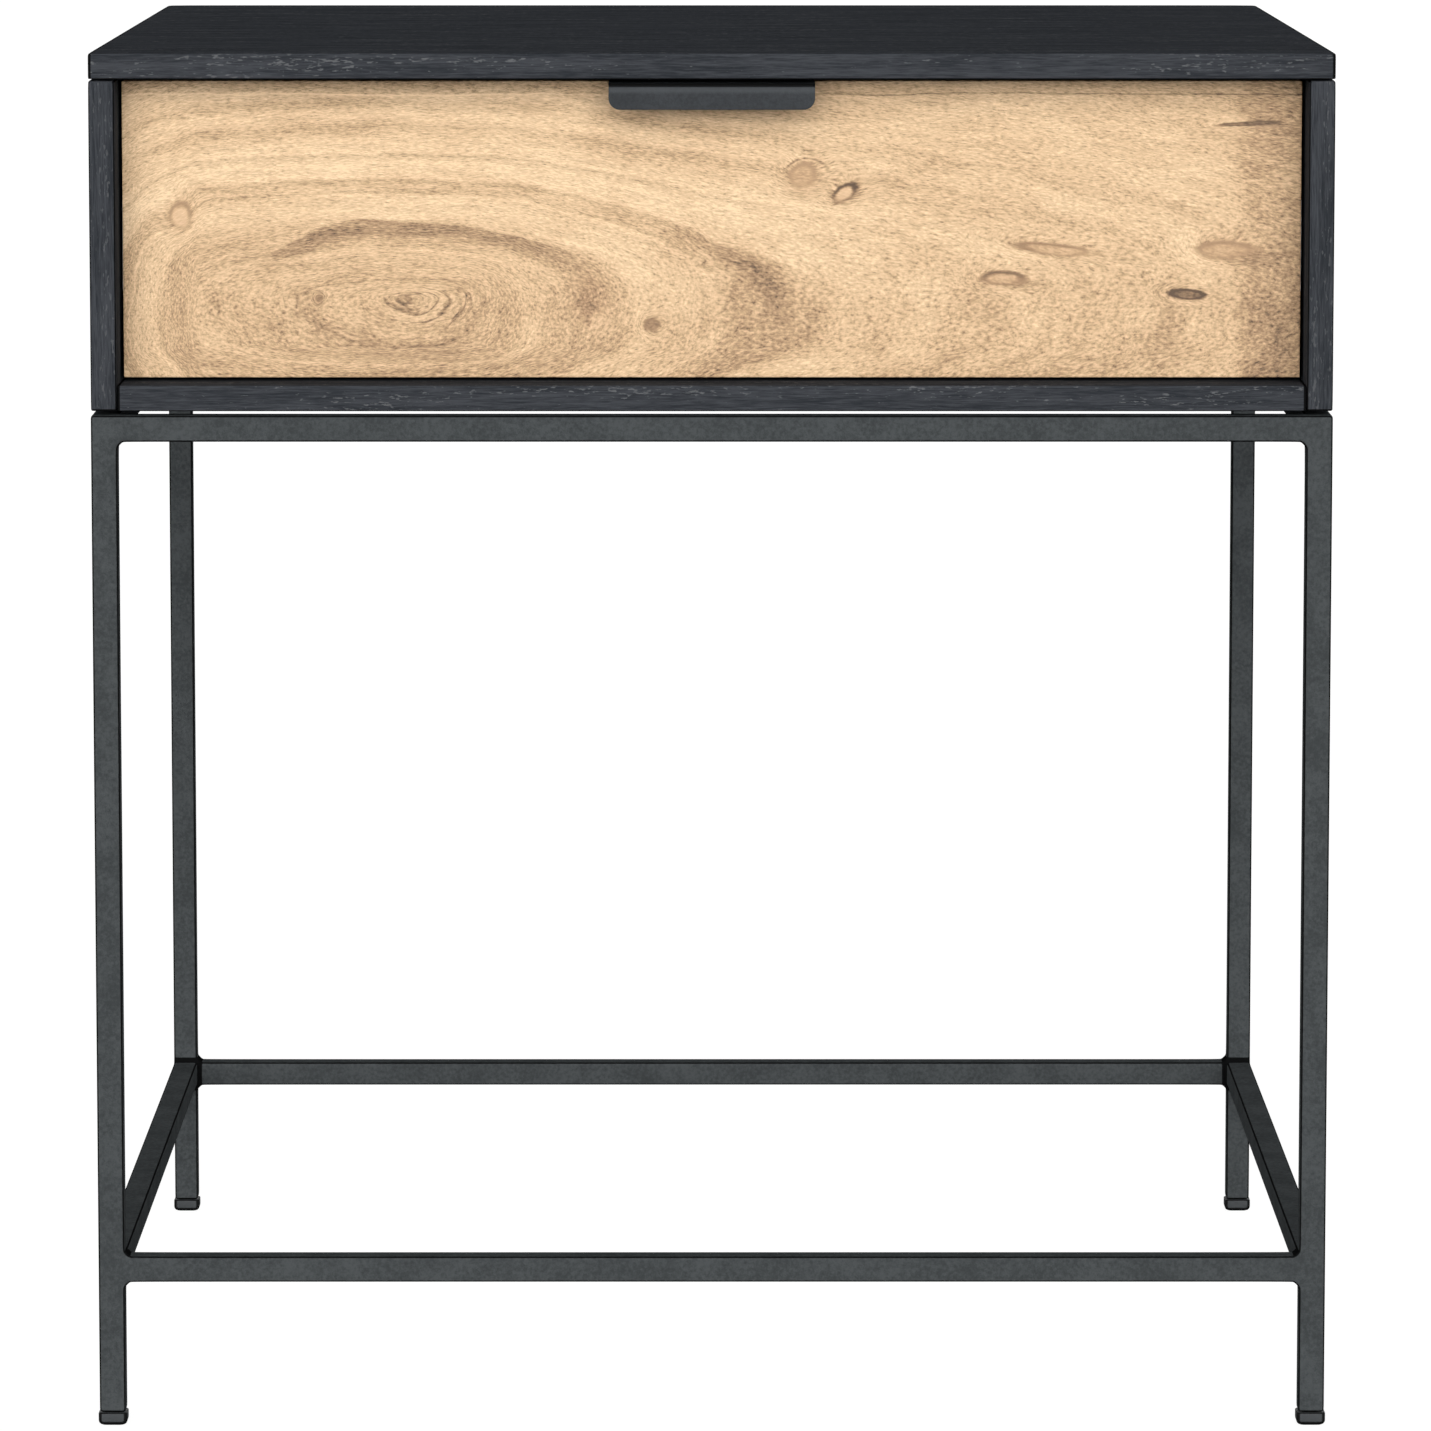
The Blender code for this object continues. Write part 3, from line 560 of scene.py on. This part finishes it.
# %% The lattice
def lattice_skin(planes, filled):
    """Closed skin round the filled cells between three families of planes.

    Corner (i, j, k) is the point (x[i], y[j], z[k]). Where a filled cell meets an empty one across axis a,
    their common face is kept. Its corners are base, base + b, base + b + c and base + c, where b and c are
    the next two axes, so its normal points along a. The order is turned round where the empty cell is the
    lower one.
    """
    count = np.array(filled.shape) + 1
    solid = np.pad(filled, 1).astype(int)
    unit = np.eye(3, dtype=int)
    quads = []
    for a in range(3):
        b, c = unit[(a + 1) % 3], unit[(a + 2) % 3]
        kept = tuple(slice(None) if axis == a else slice(1, -1) for axis in range(3))
        change = np.diff(solid, axis=a)[kept]
        for sign, order in ((-1, [0, 1, 2, 3]), (1, [3, 2, 1, 0])):
            base = np.argwhere(change == sign)
            corners = (base, base + b, base + b + c, base + c)
            ring = [np.ravel_multi_index(corner.T, count) for corner in corners]
            quads.append(np.stack(ring, axis=1)[:, order])
    used, quads = np.unique(np.concatenate(quads), return_inverse=True)
    grid = np.unravel_index(used, count)
    points = np.column_stack([planes[axis][grid[axis]] for axis in range(3)])
    return points, quads.reshape(-1, 4).tolist()


def cells_inside(planes, low, high):
    """True for the cells whose middle lies in the box from low to high."""
    inside = np.array(True)
    for axis in range(3):
        middle = (planes[axis][1:] + planes[axis][:-1]) / 2
        along = (middle > low[axis]) & (middle < high[axis])
        inside = inside[..., None] & along if inside.ndim else along
    return inside


def cuts(*values):
    """The plane positions in order, each once."""
    return np.unique(np.round(values, 6))


# %% [markdown]
# ## The welded base
#
# Legs and rails are one square tube, mitred or butted, welded, and ground flush at the front. After the
# lacquer there is no seam to see, only a small fillet of weld in each inner corner. So all twelve tubes
# become one piece. The legs stay hollow at their lower end, where the foot caps plug in.

# %% The welded base
# How far the tube's supports stand in from its faces, how far a weld reaches, how far it stands out, and the
# height at which a leg's bore ends.
TUBE_EASE, WELD, BEAD, BORE_TOP = 2.2 * MM, 2.6 * MM, 1.4 * MM, 30.0 * MM


def weld_corners(points):
    """Moves the corners in an inner corner of two tubes out by the bead, along both of its open sides.

    A near value is true on the tubes' inner faces across that axis, and a within value beyond them, inside a
    tube.
    """
    leg_low, leg_high = box_of("leg_rear_left")
    front_leg_high = box_of("leg_front_left")[1]
    rail_low, rail_high = box_of("bottom_rail_front")
    top_low = box_of("top_rail_front")[0]
    x, y, z = points.T
    inner_x, inner_y, tiny = -leg_high[0], (front_leg_high[1], leg_low[1]), 1e-6
    near_x = np.abs(np.abs(x) - inner_x) < tiny
    near_y = (np.abs(y - inner_y[0]) < tiny) | (np.abs(y - inner_y[1]) < tiny)
    near_z = np.min([np.abs(z - level) for level in (rail_low[2], rail_high[2], top_low[2])], axis=0) < tiny
    within_x = np.abs(x) > inner_x - tiny
    within_y = (y < inner_y[0] + tiny) | (y > inner_y[1] - tiny)
    within_z = (z > top_low[2] - tiny) | ((z > rail_low[2] - tiny) & (z < rail_high[2] + tiny))
    front_corner, side_corner = near_x & near_z & within_y, near_y & near_z & within_x
    flat_corner = near_x & near_y & within_z
    up = np.where(np.abs(z - rail_high[2]) < tiny, 1.0, -1.0)
    toward_middle = np.where(y < 0, 1.0, -1.0)
    return points + BEAD * np.column_stack([
        -np.sign(x) * (front_corner | flat_corner), toward_middle * (side_corner | flat_corner),
        up * (front_corner | side_corner)])


def welded_base():
    """One skin round every cell that a leg or a rail fills."""
    legs = [f"leg_{end}_{side}" for end in ("front", "rear") for side in ("left", "right")]
    sides = ("front", "rear", "left", "right")
    rails = [f"{level}_rail_{side}" for level in ("top", "bottom") for side in sides]
    boxes = [box_of(tube) for tube in legs + rails]
    planes = []
    for axis, tubes in ((0, legs), (1, legs), (2, legs + ["top_rail_front", "bottom_rail_front"])):
        faces = []
        for tube in tubes:
            low, high = box_of(tube)
            faces += [low[axis], low[axis] + TUBE_EASE, high[axis] - TUBE_EASE, high[axis]]
        planes.append(faces)
    left_high, right_low = box_of("leg_front_left")[1], box_of("leg_front_right")[0]
    rear_low, top_low = box_of("leg_rear_left")[0], box_of("top_rail_front")[0]
    rail_low, rail_high = box_of("bottom_rail_front")
    for reach in (WELD, 2 * WELD):
        planes[0] += [left_high[0] + reach, right_low[0] - reach]
        planes[1] += [left_high[1] + reach, rear_low[1] - reach]
        planes[2] += [top_low[2] - reach, rail_low[2] - reach, rail_high[2] + reach]
    planes[2].append(BORE_TOP)
    planes = [cuts(*faces) for faces in planes]
    filled = np.any([cells_inside(planes, low, high) for low, high in boxes], axis=0)
    for leg in legs:
        low, high = box_of(leg)
        bore_low, bore_high = low + TUBE_EASE, np.append(high[:2] - TUBE_EASE, BORE_TOP)
        filled &= ~cells_inside(planes, bore_low - [0, 0, 1], bore_high)
    points, quads = lattice_skin(planes, filled)
    points = weld_corners(points)
    base = make_piece("welded_base", points, quads, frame_steel, "root", legs + rails)
    print("welded base:", len(points), "corners,", len(quads), "quads before rounding")
    return round_over(base, 3)


welded_base()


# %% [markdown]
# ## Boards
#
# Each board is a single block with eased edges, so the lattice has only one filled cell in each direction
# between its supports. The drawer front also has a notch, let into its top edge for the pull.

# %% Boards
def board(node, finish, ease, body="root", notch=None):
    """A board with eased edges, less the notch, which is a box with its own supports.

    Ease is how far the supports stand in from the faces across x, y and z, in millimetres.
    """
    low, high = box_of(node)
    inner_low, inner_high = low + np.array(ease) * MM, high - np.array(ease) * MM
    planes = [[low[axis], inner_low[axis], inner_high[axis], high[axis]] for axis in range(3)]
    if notch:
        for axis, values in enumerate(notch["planes"]):
            planes[axis] += values
    planes = [cuts(*faces) for faces in planes]
    filled = cells_inside(planes, low, high)
    if notch:
        filled &= ~cells_inside(planes, notch["low"], notch["high"])
    points, quads = lattice_skin(planes, filled)
    return round_over(make_piece(node + "_board", points, quads, finish, body, [node]), 2)


board("top_panel", case_wood_across, (2.0, 2.0, 2.0))
board("bottom_panel", case_wood_across, (0.5, 1.8, 1.8))
board("back_panel", case_wood_across, (0.5, 1.2, 0.8))
board("left_side_panel", case_wood_upright, (1.6, 2.0, 3.4))
board("right_side_panel", case_wood_upright, (1.6, 2.0, 3.4))

# Half the notch's width, its depth, the room behind the pull, and how far its supports stand from its edges.
NOTCH_HALF, NOTCH_DEEP, NOTCH_GAP, SUPPORT = 50.8 * MM, 2.3 * MM, 0.3 * MM, 0.6 * MM
notch_back = box_of("drawer_pull")[1][1] + NOTCH_GAP
NOTCH = {
    "low": np.array([-NOTCH_HALF, front_low[1] - 1, front_high[2] - NOTCH_DEEP]),
    "high": np.array([NOTCH_HALF, notch_back, front_high[2] + 1]),
    "planes": [
        [side * (NOTCH_HALF + off) for side in (-1, 1) for off in (-SUPPORT, 0.0, SUPPORT)],
        [notch_back - SUPPORT, notch_back, notch_back + 0.5 * MM],
        [front_high[2] - NOTCH_DEEP + off for off in (-SUPPORT, 0.0, SUPPORT)],
    ],
}
board("drawer_front", acacia, (0.9, 0.9, 0.9), "drawer", NOTCH)
for node, wood in (("drawer_left_side", box_wood_deep), ("drawer_right_side", box_wood_deep),
                   ("drawer_back", box_wood_across), ("drawer_bottom", box_wood_across)):
    board(node, wood, (1.0, 1.0, 1.0), "drawer")
print("drawer front, mm:", [round(v / MM, 1) for v in (front_high - front_low)])


# %% [markdown]
# ## The pull
#
# The pull is a strip of 2 mm sheet, bent once. Its flat part is let into the drawer front's top edge, and
# its lip hangs down in front with two rounded corners. A strip is a profile carried across a width, so the
# surface needs only the profile's path, and the half width at each point of it. One cell of that grid is
# left out round each screw, and a ring of faces fills it up to the hole. Solidify gives the sheet its
# gauge.

# %% The pull
# The sheet's gauge, the radii of its bend and of the lip's corners, and the width taken off its edges.
GAUGE, BEND, LIP_CORNER, DEBURR = 2.0 * MM, 2.6 * MM, 5.7 * MM, 0.6 * MM
# The room between a screw and its hole, and half the side of the cell that holds the hole.
HOLE_GAP, HOLE_CELL = 0.12 * MM, 5.0 * MM


def hole_faces(corners, centre, radius, first):
    """A circle inside a square cell: 32 points, and four faces from the cell's sides to the circle.

    The corners are the cell's four point numbers, in order round the centre. First is the number of the
    circle's first point, which lies towards the first corner. Face k has corners k and k + 1 and the arc
    between them.
    """
    turn = np.linspace(0, 2 * np.pi, 32, endpoint=False) + np.pi / 4
    circle = centre + radius * np.stack([np.cos(turn), np.sin(turn), 0 * turn], axis=-1)
    faces = []
    for k in range(4):
        arc = [first + (8 * k + step) % 32 for step in range(8, -1, -1)]
        faces.append([corners[k], corners[(k + 1) % 4]] + arc)
    return circle, faces


def bent_pull():
    """Sheet along a path: back to front, a quarter turn, and down.

    Point (s, t) is (t times the half width at s, y(s), z(s)), with t from -1 to 1. On the lip's last
    stretch the half width is the width less the corner's radius, plus the cosine side of a circle of that
    radius.
    """
    low, high = box_of("drawer_pull")
    half = high[0]
    screw_low, screw_high = box_of("pull_screw_right")
    screw = (screw_low + screw_high) / 2
    turn = np.linspace(0, np.pi / 2, 9)
    corner = np.linspace(0, np.pi / 2, 10)
    plate = np.array([high[1], screw[1] + HOLE_CELL, screw[1] - HOLE_CELL, (screw[1] + low[1]) / 2])
    y = np.concatenate([plate, low[1] + BEND - BEND * np.sin(turn), np.full(len(corner), low[1])])
    z = np.concatenate([np.full(len(plate), high[2]), high[2] - BEND + BEND * np.cos(turn),
                        low[2] + LIP_CORNER - LIP_CORNER * np.sin(corner)])
    width = np.concatenate([np.full(len(plate) + len(turn), half),
                            half - LIP_CORNER + LIP_CORNER * np.cos(corner)])
    column = np.array([screw[0] - HOLE_CELL, screw[0] + HOLE_CELL, half]) / half
    across = np.concatenate([-column[::-1], [-0.25, 0, 0.25], column])
    points = np.stack([width[:, None] * across, y[:, None] + 0 * across, z[:, None] + 0 * across], axis=-1)
    index = np.arange(len(y) * len(across)).reshape(len(y), len(across))
    cells = np.stack([index[:-1, :-1], index[1:, :-1], index[1:, 1:], index[:-1, 1:]], axis=-1)
    points, faces = points.reshape(-1, 3), []
    open_cells = np.zeros(cells.shape[:2], dtype=bool)
    for side, cell in ((-1, 1), (1, len(across) - 3)):
        open_cells[1, cell] = True
        corners = [index[1, cell + 1], index[1, cell], index[2, cell], index[2, cell + 1]]
        centre = np.array([side * screw[0], screw[1], high[2]])
        circle, ring = hole_faces(corners, centre, (screw_high[0] - screw_low[0]) / 2 + HOLE_GAP, len(points))
        points = np.concatenate([points, circle])
        faces += [[int(i) for i in face] for face in ring]
    faces += cells[~open_cells].tolist()
    pull = make_piece("bent_pull", points, faces, pull_steel, "drawer", ["drawer_pull"])
    sheet = pull.modifiers.new("gauge", "SOLIDIFY")
    sheet.thickness, sheet.offset, sheet.use_even_offset = GAUGE, -1.0, True
    edge = pull.modifiers.new("deburred", "BEVEL")
    edge.width, edge.segments, edge.limit_method = DEBURR, 3, "ANGLE"
    edge.angle_limit, edge.harden_normals = np.radians(50), True
    print("pull:", len(points), "points and", len(faces), "faces before its gauge")
    return pull


bent_pull()


# %% [markdown]
# ## Foot caps
#
# Each leg ends in a moulded cap a little wider than the tube, with a plug that goes up the bore. Its
# outline is a rounded square at every height, so the surface is that square times a profile.

# %% Foot caps
def rounded_square(half, radius, steps=6):
    """Points counter-clockwise round a square with rounded corners, a row for each half size."""
    turn = np.linspace(0, np.pi / 2, steps)
    corner = np.concatenate([turn + quarter * np.pi / 2 for quarter in range(4)])
    signs = np.repeat([[1, 1], [-1, 1], [-1, -1], [1, -1]], steps, axis=0)
    half, radius = half[:, None, None], radius[:, None, None]
    return (half - radius) * signs + radius * np.stack([np.cos(corner), np.sin(corner)], axis=-1)


def skin_rings(rings):
    """Quads between following rings of points, and a fan to the middle of the first and of the last one."""
    rows, around = rings.shape[:2]
    index = np.arange(rows * around).reshape(rows, around)
    nxt = np.roll(index, -1, axis=1)
    quads = np.stack([index[:-1], nxt[:-1], nxt[1:], index[1:]], axis=-1).reshape(-1, 4)
    ends = np.stack([rings[0].mean(axis=0), rings[-1].mean(axis=0)])
    foot, top = rows * around, rows * around + 1
    fans = [[foot, b, a] for a, b in zip(index[0], nxt[0])]
    fans += [[top, a, b] for a, b in zip(index[-1], nxt[-1])]
    points = np.concatenate([rings.reshape(-1, 3), ends])
    return points, quads.tolist() + [[int(i) for i in fan] for fan in fans]


# Radii of the sole's edge, of the rim's upper edge and of the corners seen from below, the rim's height,
# how far the plug stands in from the rim, and the slope at both ends.
SOLE, LIP, CAP_CORNER = 2.6 * MM, 0.7 * MM, 2.2 * MM
RIM_HIGH, PLUG_IN, SLOPE = 6.6 * MM, 2.9 * MM, 0.8 * MM


def foot_cap(node):
    """Rounded squares stacked along a profile of half size and height.

    From the middle of the sole the profile goes round the sole's edge, up the rim, round its upper edge and
    in to the plug, which rises up the leg's bore and ends in a slope.
    """
    low, high = box_of(node)
    centre, half = (low[:2] + high[:2]) / 2, (high[0] - low[0]) / 2
    sole, lip, plug = np.linspace(0, np.pi / 2, 6), np.linspace(0, np.pi / 2, 5), half - PLUG_IN
    size = np.concatenate([[half - SOLE - SLOPE], half - SOLE + SOLE * np.sin(sole),
                           half - LIP + LIP * np.cos(lip), [plug, plug, plug, plug - SLOPE]])
    height = np.concatenate([[0], SOLE - SOLE * np.cos(sole), RIM_HIGH - LIP + LIP * np.sin(lip),
                             [RIM_HIGH, RIM_HIGH + 0.4 * MM, high[2] - 1.5 * MM, high[2]]])
    outline = rounded_square(size, np.full(len(size), CAP_CORNER))
    level = np.broadcast_to(height[:, None, None], outline.shape[:2] + (1,))
    rings = np.concatenate([outline + centre, level], axis=-1)
    points, faces = skin_rings(rings)
    return make_piece(node + "_moulding", points, faces, foot_plastic, "root", [node])


caps = [foot_cap(f"foot_cap_{end}_{side}") for end in ("front", "rear") for side in ("left", "right")]
print(len(caps), "foot caps of", len(caps[0].data.polygons), "faces each")


# %% [markdown]
# ## Screws
#
# Every screw is turned round its own axis except for the cross in its head. So the head is a height over a
# disc: a low dome, less the depth of the cross wherever a point lies near the middle line of one of its
# arms. The pull's two screws are countersunk and lie flush, and the others have pan heads.

# %% Screws
# For each way that a screw points, the two axes across it and the axis along it.
AXES = {"+x": [(0, 1, 0), (0, 0, 1), (1, 0, 0)], "-x": [(0, 0, 1), (0, 1, 0), (-1, 0, 0)],
        "+z": [(1, 0, 0), (0, 1, 0), (0, 0, 1)], "-z": [(0, 1, 0), (1, 0, 0), (0, 0, -1)]}
# Shank radius and head height of each kind.
FRAME_SCREW, SLIDE_SCREW, PULL_SCREW = (2.4 * MM, 2.6 * MM), (1.9 * MM, 1.5 * MM), (1.75 * MM, 1.2 * MM)
# The dome, the rounding and the cross's depth as parts of the head's height, and the arms' slope and length
# as parts of its radius.
DOME, ROUNDING, CROSS_DEEP, ARM_SLOPE, ARM_LONG = 0.18, 0.30, 0.55, 0.10, 0.62


def cross_screw(node, way, kind, finish, body, sunk=False):
    """A screw of one kind that points one way. Sunk is for a countersunk head, which lies flush.

    At radius r and angle t the head lies crown * (r / R)^2 + depth * arm * end below its top, where arm
    falls from 1 to 0 as the nearer of |r sin t| and |r cos t| grows to the arm's half width, and end does
    so beyond its length.
    """
    shank, head = kind
    low, high = box_of(node)
    axes = np.array(AXES[way], dtype=float)
    length = abs((high - low) @ axes[2])
    radius = abs((high - low) @ axes[0]) / 2
    crown, ease = DOME * head, ROUNDING * head
    turn = np.linspace(0, 2 * np.pi, 48, endpoint=False)
    r = np.linspace(0.02, 1.0, 16)[:, None] * (radius - ease)
    near = r * np.minimum(np.abs(np.sin(turn)), np.abs(np.cos(turn)))
    arm = np.clip(1.6 - near / (ARM_SLOPE * radius), 0, 1)
    end = np.clip((ARM_LONG * radius - r) / (ARM_SLOPE * radius), 0, 1)
    top = crown * (r / radius) ** 2 + CROSS_DEEP * head * arm * end
    lean = np.linspace(0, np.pi / 2, 4)[1:]
    rim = np.stack([radius - ease + ease * np.sin(lean), crown + ease - ease * np.cos(lean)])
    seat = head if not sunk else crown + ease + radius - shank
    body_rows = np.array([[shank, seat], [shank, length - shank], [0.4 * shank, length]])
    if not sunk:
        body_rows = np.vstack([[radius, head], body_rows])
    below = np.vstack([rim.T, body_rows])
    radii = np.vstack([r + 0 * turn, below[:, :1] + 0 * turn])
    depths = np.vstack([top, below[:, 1:] + 0 * turn])
    local = np.stack([radii * np.cos(turn), radii * np.sin(turn), depths], axis=-1)
    start = (low + high) / 2 - axes[2] * length / 2
    points, faces = skin_rings(local @ axes + start)
    piece = make_piece(node + "_cross", points, faces, finish, body, [node])
    piece.data.set_sharp_from_angle(angle=np.radians(38))
    return piece


screws = []
for side, outward, inward in (("left", "-x", "+x"), ("right", "+x", "-x")):
    for end in ("front", "rear"):
        screws.append(cross_screw(
            f"frame_screw_{end}_{side}", "+z", FRAME_SCREW, black_oxide, "root"))
        screws.append(cross_screw(
            f"{side}_slide_case_screw_{end}", outward, SLIDE_SCREW, zinc, "root"))
        screws.append(cross_screw(
            f"{side}_slide_drawer_screw_{end}", inward, SLIDE_SCREW, zinc, "drawer"))
    screws.append(cross_screw(
        f"pull_screw_{side}", "-z", PULL_SCREW, black_oxide, "drawer", sunk=True))
print(len(screws), "screws with cross recesses")


# %% [markdown]
# ## Spacers and slides
#
# The spacers, the slides' members and the ball cages already have their true shape as solids. A new mesh
# would only repeat it, so they keep their own and get their finish.

# %% Finishes on kept solids
def refinish(words, finish):
    """Gives a finish to every solid whose name holds one of the words and that is still shown."""
    done = [n for n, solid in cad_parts.items() if any(w in n for w in words) and not solid.hide_render]
    for name in done:
        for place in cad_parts[name].material_slots:
            place.material = finish
    print(len(done), "solids in", finish.name)


refinish(["spacer"], foot_plastic)
refinish(["slide_"], zinc)


# %% [markdown]
# ## Floor, light and camera
#
# The floor is a plain pale plane that looks white to the camera and is darker to the table, so that it
# throws little light back. The light is painted into the world by direction, so that no lamp stands in the
# way of another view. Its widest and strongest patch is in front. Weaker ones stand at both sides, behind,
# and high over the back, and let each of the other sides be seen. The backdrop itself is white.

# %% Floor
FLOOR_HALF = 30.0


def plain_floor():
    """A wide plane on the stage. The camera sees it nearly white, and every other ray a mid grey."""
    mesh = bpy.data.meshes.new("floor")
    corners = [(x * FLOOR_HALF, y * FLOOR_HALF, 0) for x, y in ((-1, -1), (1, -1), (1, 1), (-1, 1))]
    mesh.from_pydata(corners, [], [(0, 1, 2, 3)])
    floor = bpy.data.objects.new("floor", mesh)
    scene.collection.objects.link(floor)
    material, place = finish_named("pale_floor")
    unseen = place.node("BsdfPrincipled", None, {
        "Base Color": (0.15, 0.15, 0.15, 1), "Roughness": 0.9, "Specular IOR Level": 0.1})
    bright = place.node("Emission", None, {"Color": (1, 1, 1, 1), "Strength": 0.93})
    shaded = place.node("BsdfDiffuse", None, {"Color": (0.2, 0.2, 0.2, 1)})
    pale = place.node("AddShader", None, {0: bright, 1: shaded})
    seen = place.node("LightPath", output="Is Camera Ray")
    either = place.node("MixShader", None, {0: seen, 1: unseen, 2: pale})
    place.node("OutputMaterial", None, {"Surface": either})
    mesh.materials.append(material)


plain_floor()


# %% World
# For each patch of light: the way to its middle, how near to that way it begins, where 1 is its middle, and
# its strength in the middle. The last value is the light from everywhere.
PATCHES = {"front": ((0, -1, 0), 0.6, 5.67), "over the back": ((0, 0.7, 0.7), 0.75, 0.4),
           "left": ((-1, 0, 0), 0.75, 1.2), "right": ((1, 0, 0), 0.75, 1.2), "back": ((0, 1, 0), 0.85, 3.0)}
FILL = 0.09


def studio_world():
    """Soft patches of light by direction. The camera sees plain white instead."""
    world = bpy.data.worlds.new("studio")
    scene.world = world
    world.use_nodes = True
    world.node_tree.nodes.clear()
    direction = Wire(world.node_tree).node("TexCoord", output="Generated")
    strength = FILL
    for way, begins, full in PATCHES.values():
        near = direction.node("VectorMath", {"operation": "DOT_PRODUCT"}, {0: direction, 1: way}, "Value")
        strength = step_up(near, begins, 1.0, 0.0, full) + strength
    light = direction.node("Background", None, {"Color": (1, 1, 1, 1), "Strength": strength})
    white = direction.node("Background", None, {"Color": (1, 1, 1, 1), "Strength": 1.0})
    seen = direction.node("LightPath", output="Is Camera Ray")
    either = direction.node("MixShader", None, {0: seen, 1: light, 2: white})
    direction.node("OutputWorld", None, {"Surface": either})
    print("world:", ", ".join(PATCHES))


studio_world()
scene.view_settings.view_transform = "Standard"


# %% Camera
# The lens and its frame in millimetres, how far it stands in front of the table, and the sideways place and
# the height of the eye and of the point it looks at, in metres.
LENS, FRAME_WIDTH, STAND_OFF = 208.8, 36.0, 4.06
EYE, AIM = (0.0007, 0.863), (0.0018, 0.3567)


def table_camera():
    """A long lens a little above the table, looking slightly down at the middle of its front."""
    front = cad_low.y
    camera = bpy.data.objects.new("camera", bpy.data.cameras.new("camera"))
    scene.collection.objects.link(camera)
    camera.data.lens, camera.data.sensor_width = LENS, FRAME_WIDTH
    camera.data.clip_end = 200.0
    place, aim = np.array([EYE[0], front - STAND_OFF, EYE[1]]), np.array([AIM[0], front, AIM[1]])
    camera.location = place
    camera.rotation_euler = Vector(aim - place).to_track_quat("-Z", "Y").to_euler()
    scene.camera = camera
    print("camera:", LENS, "mm lens,", STAND_OFF, "m in front of the table")


table_camera()
